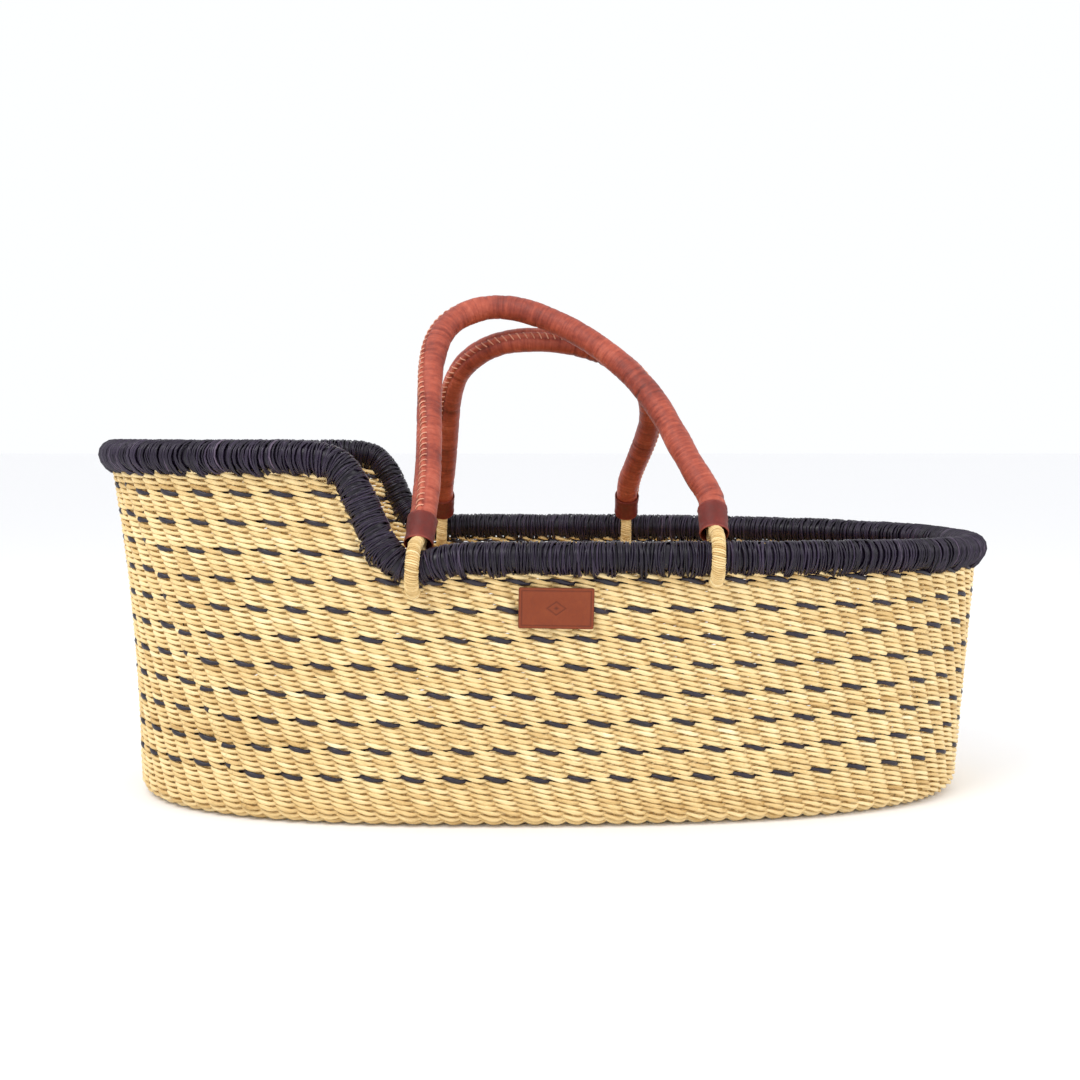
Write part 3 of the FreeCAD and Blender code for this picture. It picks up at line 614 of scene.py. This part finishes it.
def wallStakes():
    groups = {"front": [], "back": [], "head": [], "foot": []}
    for stake in range(stakeCount):
        run = stakeRun(stake)
        x, y = run[0][0][:2]
        if x < tub["widestStation"] - 0.6 * tub["baseHeadLength"]:
            groups["head"].append(run)
        elif x > tub["widestStation"] + 0.7 * tub["baseFootLength"]:
            groups["foot"].append(run)
        else:
            groups["front" if y < 0 else "back"].append(run)
    for side, runs in groups.items():
        mesh = strandMesh(side + "Stakes", runs, stakeProfile, "MINIMUM")
        addPiece(mesh.name, mesh, "basket", "stake_grass", strawGrass, side + "_stakes")


wallStakes()
print("stakes set")

# the rim: a dark tube with many single wraps over it; the tube's dark navy fills the gaps between the wraps
# with painted shade
rim = {
    "coverRadius": 0.0109,
    "shadeTubeTone": 0.2,
    "wrapRadius": 0.0125,
    "wrapPitch": 0.00150,
    "wrapPoints": 15,
    "slant": 0.20,
    "slantSpread": 0.17,
    "reachBelow": 0.0050,
}
wrapProfile = profileCurve("wrapProfile", 0.00102, 0.00102, 4)
shadeTubeProfile = profileCurve("shadeTubeProfile", rim["coverRadius"], rim["coverRadius"], 20)


def rimAt(distance):
    place = np.mod(distance / rimLength * len(rimPoints), len(rimPoints))
    low = np.floor(place).astype(int)
    share = (place - low)[:, None]
    high = (low + 1) % len(rimPoints)
    return [a[low % len(rimPoints)] * (1 - share) + a[high] * share
            for a in (rimPoints, rimAlong, rimOutward, rimDown)]


def rimWrap(distance, slant, radius, below, tone):
    # a closed wrap that leans along the rim and reaches through the wall below it
    turn = 2 * math.pi * np.arange(rim["wrapPoints"]) / rim["wrapPoints"] + 0.3
    under = np.maximum(np.cos(turn), 0.0)
    sideways = radius * np.sin(turn) * (1 - 0.25 * under ** 2)
    depth = radius * np.cos(turn) + below * under ** 1.5
    forward = slant * radius * np.sin(turn) + 0.0012 * np.cos(turn + tone * 40)
    centre, along, outward, down = rimAt(distance + forward)
    points = centre + outward * sideways[:, None] + down * depth[:, None]
    radii = 1.0 + 0.14 * np.sin(turn * 2 + tone * 30)
    return points, radii, np.full(len(turn), tone)


def rimPieces():
    count = int(round(rimLength / rim["wrapPitch"]))
    halves = {"Back": [], "Front": []}
    for k in range(count):
        distance = rimLength * (k + random.uniform(-0.35, 0.35)) / count
        slant = -rim["slant"] + rim["slantSpread"] * (random.gauss(0, 0.8) + smoothNoise(k, 9, 71))
        radius = rim["wrapRadius"] + random.uniform(-0.0003, 0.00045) + 0.00035 * smoothNoise(k, 14, 72)
        below = rim["reachBelow"] * max(0.0, 0.45 + 0.55 * smoothNoise(k, 3.1, 73)) ** 1.4
        tone = min(0.95, max(0.05, random.gauss(0.45, 0.16) + 0.12 * smoothNoise(k, 25, 74)))
        side = "Back" if distance < 0.5 * rimLength else "Front"
        halves[side].append(rimWrap(distance, slant, radius, below, tone))
    for side, wraps in halves.items():
        start = 0 if side == "Back" else len(rimPoints) // 2
        picks = (start + np.arange(0, len(rimPoints) // 2 + 1, 12)) % len(rimPoints)
        # painted shade: a dark tube under the wraps, so that the gaps between them read as shadow
        shadeTubeRun = (rimPoints[picks], np.ones(len(picks)), np.full(len(picks), rim["shadeTubeTone"]))
        cover = strandMesh("cover", [shadeTubeRun], shadeTubeProfile)
        wrapMesh = strandMesh("wraps", wraps, wrapProfile, "MINIMUM", True)
        name = "rimBinding" + side
        addPiece(name, joinMeshes(name, cover, wrapMesh), "basket", "rim_grass", rimGrass, "rim_binding")
    print("rim bound with", count, "wraps")


rimPieces()

# handles
handles = {
    "sleeveStart": 0.0385,
    "straightEnd": 0.058,
    "sleeveRadius": 0.0113,
    "loopRing": 0.0198,
    "loopLegOffset": 0.00565,
    "loopNeck": 0.014,
    "loopTop": 0.036,
}
cuff = {"steps": 40, "cutEdge": 0.0238, "topEdge": 0.0503}
handleSides = {
    "front": {
        "side": front, "height": 0.3026, "lean": 41.5, "feet": (-0.107, 0.139), "splay": (7.0, 3.5),
        "outline": [(-0.92, 0.29), (-0.905, 0.515), (-0.88, 0.77), (-0.73, 0.94), (-0.44, 1.0),
                    (-0.015, 0.945), (0.375, 0.807), (0.70, 0.605), (0.895, 0.37), (0.985, 0.26)],
        "seam": [(0, 1.33), (0.2, 1.06), (0.27, 0.65), (0.33, 0.35), (0.5, 0.05), (1, -0.5)],
    },
    "back": {
        "side": back, "height": 0.2677, "lean": 44.5, "feet": (-0.113, 0.089), "splay": (4.0, 0.0),
        "outline": [(-0.906, 0.381), (-0.822, 0.66), (-0.663, 0.866), (-0.307, 0.979), (0.109, 1.0),
                    (0.604, 0.957), (0.98, 0.848), (1.17, 0.706), (1.18, 0.563), (1.089, 0.399)],
        "seam": [(0, 0.75), (0.35, 0.55), (0.6, 0.3), (1, -0.3)],
    },
}


def naturalSpline(knots, samplesPerMetre):
    # smooth curve through the knots, with bends that fade to nothing at its ends
    knots = np.array(knots)
    gaps = np.linalg.norm(np.diff(knots, axis=0), axis=1)
    at = np.concatenate(([0.0], np.cumsum(gaps)))
    count = len(knots)
    system = np.zeros((count, count))
    right = np.zeros((count, knots.shape[1]))
    system[0, 0] = system[-1, -1] = 1.0
    for k in range(1, count - 1):
        system[k, k - 1: k + 2] = gaps[k - 1], 2 * (gaps[k - 1] + gaps[k]), gaps[k]
        right[k] = 6 * ((knots[k + 1] - knots[k]) / gaps[k] - (knots[k] - knots[k - 1]) / gaps[k - 1])
    bends = np.linalg.solve(system, right)
    fine = np.linspace(0, at[-1], 4000)
    cell = np.clip(np.searchsorted(at, fine) - 1, 0, count - 2)
    gap = gaps[cell][:, None]
    low = (at[cell + 1] - fine)[:, None]
    high = (fine - at[cell])[:, None]
    curve = (bends[cell] * low ** 3 + bends[cell + 1] * high ** 3) / (6 * gap)
    curve += (knots[cell] / gap - bends[cell] * gap / 6) * low
    curve += (knots[cell + 1] / gap - bends[cell + 1] * gap / 6) * high
    lengths = np.concatenate(([0.0], np.cumsum(np.linalg.norm(np.diff(curve, axis=0), axis=1))))
    even = np.linspace(0, lengths[-1], int(lengths[-1] * samplesPerMetre) + 1)
    spaced = np.stack([np.interp(even, lengths, column) for column in curve.T], axis=-1)
    return spaced, lengths[-1]


handleEnds = ("left", "right")


class HandlePlan:
    def __init__(self, name):
        facts = handleSides[name]
        self.name = name
        self.body = name + "_handle"
        self.facts = facts
        feet = []
        for x in facts["feet"]:
            height = float(rimHeight(x, facts["side"] == front))
            feet.append(sidePoint(x, height, facts["side"], tub["midInset"]))
        self.half = 0.5 * (feet[1] - feet[0]).length
        lean = math.radians(facts["lean"])
        along = (feet[1] - feet[0]).normalized()
        up = Vector((0, -facts["side"] * math.sin(lean), math.cos(lean)))
        up = (up - along * up.dot(along)).normalized()
        middle = (feet[0] + feet[1]) * 0.5
        self.place = Matrix.Translation(middle) @ Matrix((along, up, along.cross(up))).transposed().to_4x4()

    def legPoint(self, end, distance, across=0.0):
        splay = math.radians(self.facts["splay"][end])
        foot = self.half if end else -self.half
        return (foot + distance * math.sin(splay), distance * math.cos(splay), across)

    def arch(self):
        start, straight = handles["sleeveStart"], handles["straightEnd"]
        middle = [(x * self.half, y * self.facts["height"], 0.0) for x, y in self.facts["outline"]]
        stations = [start, 0.5 * (start + straight), straight]
        knots = [self.legPoint(0, station) for station in stations] + middle
        knots += [self.legPoint(1, station) for station in reversed(stations)]
        return naturalSpline(knots, 620)


stitchProfile = profileCurve("stitchProfile", 0.00062, 0.00062, 5)
loopProfile = profileCurve("loopProfile", 0.0047, 0.0047, 12)
loopWrapProfile = profileCurve("loopWrapProfile", 0.00095, 0.00095, 4)
sleeve = {
    "sides": 84,
    "creases": 230,
    "creaseDepth": 0.00042,
    "seamRidge": 0.0011,
    "seamWidth": 0.16,
    "pucker": 0.0062,
}
sleeveProfile = profileCurve("sleeveProfile", 1.0, 1.0, sleeve["sides"])


def hump(distance, width):
    return np.exp(-((distance / width) ** 2))


def seamAngle(plan, share):
    # round the sleeve from the arch's outer side towards the -Y side, from the left foot to the right one
    shares, angles = zip(*plan.facts["seam"])
    return np.interp(share, shares, angles)


def outerDirections(points):
    tangents = np.gradient(points, axis=0)
    tangents /= np.linalg.norm(tangents, axis=1)[:, None]
    return np.stack([-tangents[:, 1], tangents[:, 0], np.zeros(len(points))], axis=-1)


def makeSleeve(plan):
    points, length = plan.arch()
    outer = outerDirections(points)
    rings, sides = len(points), sleeve["sides"]
    run = (points, np.full(rings, handles["sleeveRadius"]), np.zeros(rings))
    mesh = strandMesh(plan.name + "Sleeve", [run], sleeveProfile, "MINIMUM")
    verts = np.zeros(rings * sides * 3)
    mesh.vertices.foreach_get("co", verts)
    verts = verts.reshape(rings, sides, 3)
    radial = verts - points[:, None, :]
    radial /= np.linalg.norm(radial, axis=2)[:, :, None]
    around = np.arctan2(radial[:, :, 2], np.einsum("rsk,rk->rs", radial, outer))
    along = (np.arange(rings) / (rings - 1) * length)[:, None]
    share = along / length
    lift = 0.00035 * smoothNoise(along, 0.021, 81) * np.ones_like(around)
    toneAndPaintedShade = 0.5 + 0.12 * smoothNoise(along, 0.035, 82) * np.ones_like(around)
    for _ in range(sleeve["creases"]):
        at, facing = random.uniform(0, length), random.uniform(-math.pi, math.pi)
        width, skew = random.uniform(0.0006, 0.0022), random.gauss(0, 0.0015)
        depth = sleeve["creaseDepth"] * random.uniform(0.25, 1.0)
        cover = np.clip(0.35 + 0.65 * np.cos(around - facing), 0, 1)
        dent = cover * hump(along - at + skew * np.sin(around - facing), width)
        lift -= depth * dent
        # painted shade: each crease also darkens the tone where it dents the sleeve
        toneAndPaintedShade -= 0.16 * dent * depth / sleeve["creaseDepth"]
    offset = np.mod(around - seamAngle(plan, share) + math.pi, 2 * math.pi) - math.pi
    scallop = 0.62 + 0.38 * np.abs(np.sin(math.pi * along / sleeve["pucker"]))
    ridge = hump(offset, sleeve["seamWidth"])
    lift += sleeve["seamRidge"] * ridge * scallop
    lift -= 0.0006 * hump(np.abs(offset) - 0.33, 0.13) * scallop
    waves = np.sin(2 * math.pi * along / sleeve["pucker"] + 3 * np.abs(offset))
    lift += 0.00016 * hump(offset, 0.7) * waves
    # painted highlight along the seam ridge, and painted shadow in the groove beside it
    toneAndPaintedShade += 0.16 * ridge - 0.14 * hump(np.abs(offset) - 0.3, 0.1)
    verts = verts + radial * lift[:, :, None]
    mesh.vertices.foreach_set("co", verts.ravel())
    setTone(mesh, toneAndPaintedShade)
    mesh.transform(plan.place)
    addPiece(mesh.name, mesh, plan.body, "handle_leather", redLeather, plan.body + "_sleeve")
    return points, length, outer


def makeLacing(plan, points, length, outer):
    # short whip stitches over the seam
    runs = []
    rings = len(points)
    margin = 0.014
    count = int((length - 2 * margin) / sleeve["pucker"])
    across = np.array([0.0, 0.0, 1.0])
    for k in range(count):
        at = margin + (k + 0.5) * (length - 2 * margin) / count
        middle = seamAngle(plan, at / length)
        steps = np.linspace(-1, 1, 7)
        run = []
        for step in steps:
            index = min(rings - 1, max(0, (at + 0.0021 * step) / length * (rings - 1)))
            low = int(index)
            centre = points[low] + (points[min(rings - 1, low + 1)] - points[low]) * (index - low)
            angle = middle + 0.30 * step
            radius = handles["sleeveRadius"] + 0.0013 - 0.0021 * step * step
            run.append(centre + radius * (math.cos(angle) * outer[low] + math.sin(angle) * across))
        runs.append((np.array(run), np.full(7, 1.0), np.full(7, random.uniform(0.45, 0.9))))
    mesh = strandMesh(plan.name + "Lacing", runs, stitchProfile, "MINIMUM")
    mesh.transform(plan.place)
    addPiece(mesh.name, mesh, plan.body, "lacing_leather", laceThread, plan.body + "_lacing")


def loopPath(plan, end):
    ring, neck = handles["loopRing"], handles["loopNeck"]
    offset = handles["loopLegOffset"]
    neckHeight = math.sqrt((ring + neck) ** 2 - (offset + neck) ** 2)
    join = math.atan2(neckHeight, offset + neck)
    path = [(offset, y) for y in np.linspace(handles["loopTop"], neckHeight, 6)]
    for turn in np.linspace(math.pi, math.pi + join, 7)[1:]:
        path.append((offset + neck + neck * math.cos(turn), neckHeight + neck * math.sin(turn)))
    for turn in np.linspace(join, -0.5 * math.pi, 26)[1:]:
        path.append((ring * math.cos(turn), ring * math.sin(turn)))
    path = path + [(-x, y) for x, y in path[-2::-1]]
    return np.array([plan.legPoint(end, y, x) for x, y in path])


def makeLoop(plan, end):
    side = handleEnds[end]
    path, length = naturalSpline(loopPath(plan, end), 600)
    tangents = np.gradient(path, axis=0)
    tangents /= np.linalg.norm(tangents, axis=1)[:, None]
    sideways = np.array(plan.legPoint(end, 1.0)) - np.array(plan.legPoint(end, 0.0))
    sideways = np.cross(sideways, (0, 0, 1.0))
    rope = strandMesh("rope", [(path, np.ones(len(path)), np.full(len(path), 0.45))], loopProfile, "MINIMUM")
    runs = []
    count = int(length / 0.00165)
    for k in range(count):
        index = int((k + 0.5) / count * (len(path) - 1))
        lift = np.cross(tangents[index], sideways)
        turn = 2 * math.pi * np.arange(11) / 11
        radius = 0.0050 + random.uniform(-0.00012, 0.0002)
        lean = 0.22 + random.gauss(0, 0.05)
        wide = radius * np.cos(turn)[:, None]
        high = radius * np.sin(turn)[:, None]
        ring = path[index] + wide * sideways + high * lift + lean * wide * tangents[index]
        tone = min(0.98, max(0.15, random.gauss(0.50, 0.14)))
        runs.append((ring, 1 + 0.1 * np.sin(turn + k), np.full(11, tone)))
    wraps = strandMesh("wraps", runs, loopWrapProfile, "MINIMUM", True)
    name = "%s%sLoop" % (plan.name, side.capitalize())
    mesh = joinMeshes(name, rope, wraps)
    mesh.transform(plan.place)
    addPiece(name, mesh, plan.body, "loop_straw", loopGrass, "%s_%s_loop" % (plan.body, side))


def makeCuff(plan, end):
    # a leather tube, turned from its section, that flares where the loop comes out
    side = handleEnds[end]
    section = [(0.0113, 0.0245), (0.0117, 0.0237), (0.0124, 0.0239), (0.0125, 0.0258), (0.0121, 0.0300),
               (0.0121, 0.0360), (0.0124, 0.0420), (0.0126, 0.0475), (0.0128, 0.0496), (0.0125, 0.0505),
               (0.0120, 0.0500), (0.0118, 0.0440), (0.0115, 0.0340), (0.0113, 0.0270)]
    bm = bmesh.new()
    verts = [bm.verts.new((radius, 0, height)) for radius, height in section]
    for k in range(len(verts)):
        bm.edges.new((verts[k], verts[(k + 1) % len(verts)]))
    bmesh.ops.spin(bm, geom=bm.verts[:] + bm.edges[:], cent=(0, 0, 0), axis=(0, 0, 1),
                   angle=2 * math.pi, steps=cuff["steps"], use_merge=True)
    tall = [edge for edge in bm.edges if abs(edge.verts[0].co.z - edge.verts[1].co.z) > 0.003]
    bmesh.ops.subdivide_edges(bm, edges=tall, cuts=2, use_grid_fill=True)
    bmesh.ops.recalc_face_normals(bm, faces=bm.faces[:])
    seed = 300 + 10 * end + (5 if plan.name == "back" else 0)
    for vert in bm.verts:
        around = math.atan2(vert.co.y, vert.co.x)
        dent = float(smoothNoise(around * 4 + vert.co.z * 500, 1.0, seed)) * 0.00032
        dent += float(smoothNoise(vert.co.z, 0.0035, seed + 1)) * 0.00018
        radius = math.hypot(vert.co.x, vert.co.y)
        vert.co.x *= (radius + dent) / radius
        vert.co.y *= (radius + dent) / radius
    for face in bm.faces:
        face.smooth = True
    name = "%s%sCuff" % (plan.name, side.capitalize())
    mesh = bpy.data.meshes.new(name)
    bm.to_mesh(mesh)
    bm.free()
    heights = np.array([vert.co.z for vert in mesh.vertices])
    pale = 0.5 * hump(heights - cuff["cutEdge"], 0.0007) + 0.2 * hump(heights - cuff["topEdge"], 0.0008)
    setTone(mesh, 0.45 + pale)
    low, high = Vector(plan.legPoint(end, 0.0)), Vector(plan.legPoint(end, 1.0))
    mesh.transform(Matrix.Translation(low) @ (high - low).to_track_quat("Z", "Y").to_matrix().to_4x4())
    mesh.transform(plan.place)
    addPiece(name, mesh, plan.body, "cuff_leather", darkLeather, "%s_%s_cuff" % (plan.body, side))


for handleName in handleSides:
    plan = HandlePlan(handleName)
    points, length, outer = makeSleeve(plan)
    makeLacing(plan, points, length, outer)
    for end in (0, 1):
        makeLoop(plan, end)
        makeCuff(plan, end)
print("handles made")

# the label patch, with a pressed border and a small diamond
label = {"width": 0.0615, "height": 0.034, "thickness": 0.0018, "station": 0.008, "centreHeight": 0.189,
         "corner": 0.0015, "proud": 0.0003, "tilt": -1.0, "border": 0.0025, "line": 0.0006, "press": 0.00035}


def labelPatch():
    bm = bmesh.new()
    bmesh.ops.create_grid(bm, x_segments=122, y_segments=68, size=0.5)
    bmesh.ops.scale(bm, vec=(label["width"], label["height"], 1), verts=bm.verts[:])
    halfX, halfY = 0.5 * label["width"], 0.5 * label["height"]
    for vert in bm.verts:
        x, y = vert.co.x, vert.co.y
        edge = min(halfX - abs(x), halfY - abs(y))
        press = math.exp(-(((edge - label["border"]) / label["line"]) ** 2))
        diamond = abs(x) / 0.0075 + abs(y) / 0.0055
        press = max(press, math.exp(-(((diamond - 1.0) / 0.11) ** 2)), math.exp(-((diamond / 0.28) ** 4)))
        roll = max(0.0, 1 - edge / 0.0009)
        vert.co.z = label["thickness"] - label["press"] * press - 0.0006 * roll * roll
        cornerX, cornerY = abs(x) - (halfX - label["corner"]), abs(y) - (halfY - label["corner"])
        if cornerX > 0 and cornerY > 0:
            reach = max(cornerX, cornerY) / math.hypot(cornerX, cornerY)
            vert.co.x = math.copysign(halfX - label["corner"] + cornerX * reach, x)
            vert.co.y = math.copysign(halfY - label["corner"] + cornerY * reach, y)
    rimEdges = [edge for edge in bm.edges if edge.is_boundary]
    walls = bmesh.ops.extrude_edge_only(bm, edges=rimEdges)["geom"]
    for vert in [item for item in walls if isinstance(item, bmesh.types.BMVert)]:
        vert.co.z = 0.0
    bmesh.ops.holes_fill(bm, edges=[edge for edge in bm.edges if edge.is_boundary], sides=0)
    bmesh.ops.recalc_face_normals(bm, faces=bm.faces[:])
    for face in bm.faces:
        face.smooth = abs(face.normal.z) > 0.3
    mesh = bpy.data.meshes.new("labelPatch")
    bm.to_mesh(mesh)
    bm.free()
    heights = np.array([vert.co.z for vert in mesh.vertices])
    setTone(mesh, 0.55 - 0.4 * np.clip((label["thickness"] - heights) / label["press"], 0, 1))
    x, z, step = label["station"], label["centreHeight"], 0.0005
    centre = sidePoint(x, z, front, 0.0)
    along = (sidePoint(x + step, z, front, 0.0) - sidePoint(x - step, z, front, 0.0)).normalized()
    up = (sidePoint(x, z + step, front, 0.0) - sidePoint(x, z - step, front, 0.0)).normalized()
    outward = along.cross(up).normalized()
    up = outward.cross(along)
    turn = Matrix((along, up, outward)).transposed().to_4x4()
    mesh.transform(Matrix.Translation(centre + outward * label["proud"]) @ turn
                   @ Matrix.Rotation(math.radians(label["tilt"]), 4, "Z"))
    addPiece("labelPatch", mesh, "basket", "label_leather", tanLeather, "label_patch")


labelPatch()
print("label made")

# plain grass for pieces that have no strands of their own
ropeGrass = bpy.data.materials.new("ropeGrass")
ropeGrass.use_nodes = True
ropeTree = ropeGrass.node_tree
ropePlace = ropeTree.nodes.new("ShaderNodeTexCoord")
ropeNoise = ropeTree.nodes.new("ShaderNodeTexNoise")
ropeNoise.inputs["Scale"].default_value = 260.0
ropeNoise.inputs["Detail"].default_value = 5.0
ropeTree.links.new(ropePlace.outputs["Object"], ropeNoise.inputs["Vector"])
ropeShader = ropeTree.nodes["Principled BSDF"]
ropeShader.inputs["Roughness"].default_value = 0.65
ropeTree.links.new(ramp(ropeTree, ropeNoise.outputs["Fac"], strawStops), ropeShader.inputs["Base Color"])
bumpInto(ropeTree, ropeShader, ropeNoise.outputs["Fac"], 0.6, 0.0006)

# CAD nodes that stay: bundles and ropes inside the rim and the handles, and the floor's cross stakes
for nodeName in ("rim_core", "base_cross_stakes", "front_handle_core", "back_handle_core"):
    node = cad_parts[nodeName]
    node.data.materials.clear()
    node.data.materials.append(ropeGrass)

for holder in (strandProfile, floorProfile, stakeProfile, wrapProfile, shadeTubeProfile, sleeveProfile,
               stitchProfile, loopProfile, loopWrapProfile):
    bpy.data.objects.remove(holder)

# floor, light and camera
studio = {
    "floorSize": 60.0,
    "skyStrength": 1.02,
    "keyPower": 22.0,
    "fillPower": 9.0,
    "cameraPlace": (-0.0052, -1.340, 0.326),
    "cameraPitch": -4.126,
    "focalShare": 1400.0 / 1080.0,
}
bm = bmesh.new()
bmesh.ops.create_grid(bm, x_segments=1, y_segments=1, size=0.5 * studio["floorSize"])
groundMesh = bpy.data.meshes.new("ground")
bm.to_mesh(groundMesh)
bm.free()
ground = bpy.data.objects.new("ground", groundMesh)
bpy.context.scene.collection.objects.link(ground)
paper = bpy.data.materials.new("paper")
paper.use_nodes = True
paper.node_tree.nodes["Principled BSDF"].inputs["Base Color"].default_value = (0.96, 0.96, 0.965, 1)
paper.node_tree.nodes["Principled BSDF"].inputs["Roughness"].default_value = 0.9
groundMesh.materials.append(paper)

world = bpy.data.worlds.new("studio")
world.use_nodes = True
world.node_tree.nodes["Background"].inputs["Color"].default_value = (0.97, 0.98, 1.0, 1)
world.node_tree.nodes["Background"].inputs["Strength"].default_value = studio["skyStrength"]
bpy.context.scene.world = world


def softLight(name, place, target, width, power):
    lamp = bpy.data.lights.new(name, "AREA")
    lamp.shape = "DISK"
    lamp.size = width
    lamp.energy = power
    holder = bpy.data.objects.new(name, lamp)
    bpy.context.scene.collection.objects.link(holder)
    holder.location = place
    holder.rotation_euler = (Vector(target) - Vector(place)).to_track_quat("-Z", "Y").to_euler()


softLight("key", (-0.9, -1.2, 1.9), (0, 0, 0.15), 1.2, studio["keyPower"])
softLight("fill", (1.6, -1.0, 1.2), (0, 0, 0.15), 1.4, studio["fillPower"])

lens = bpy.data.cameras.new("camera")
lens.sensor_width = 36.0
lens.lens = 36.0 * studio["focalShare"]
camera = bpy.data.objects.new("camera", lens)
bpy.context.scene.collection.objects.link(camera)
camera.location = studio["cameraPlace"]
camera.rotation_euler = (math.radians(90 + studio["cameraPitch"]), 0, 0)
bpy.context.scene.camera = camera
bpy.context.scene.view_settings.view_transform = "Standard"
print("studio ready")
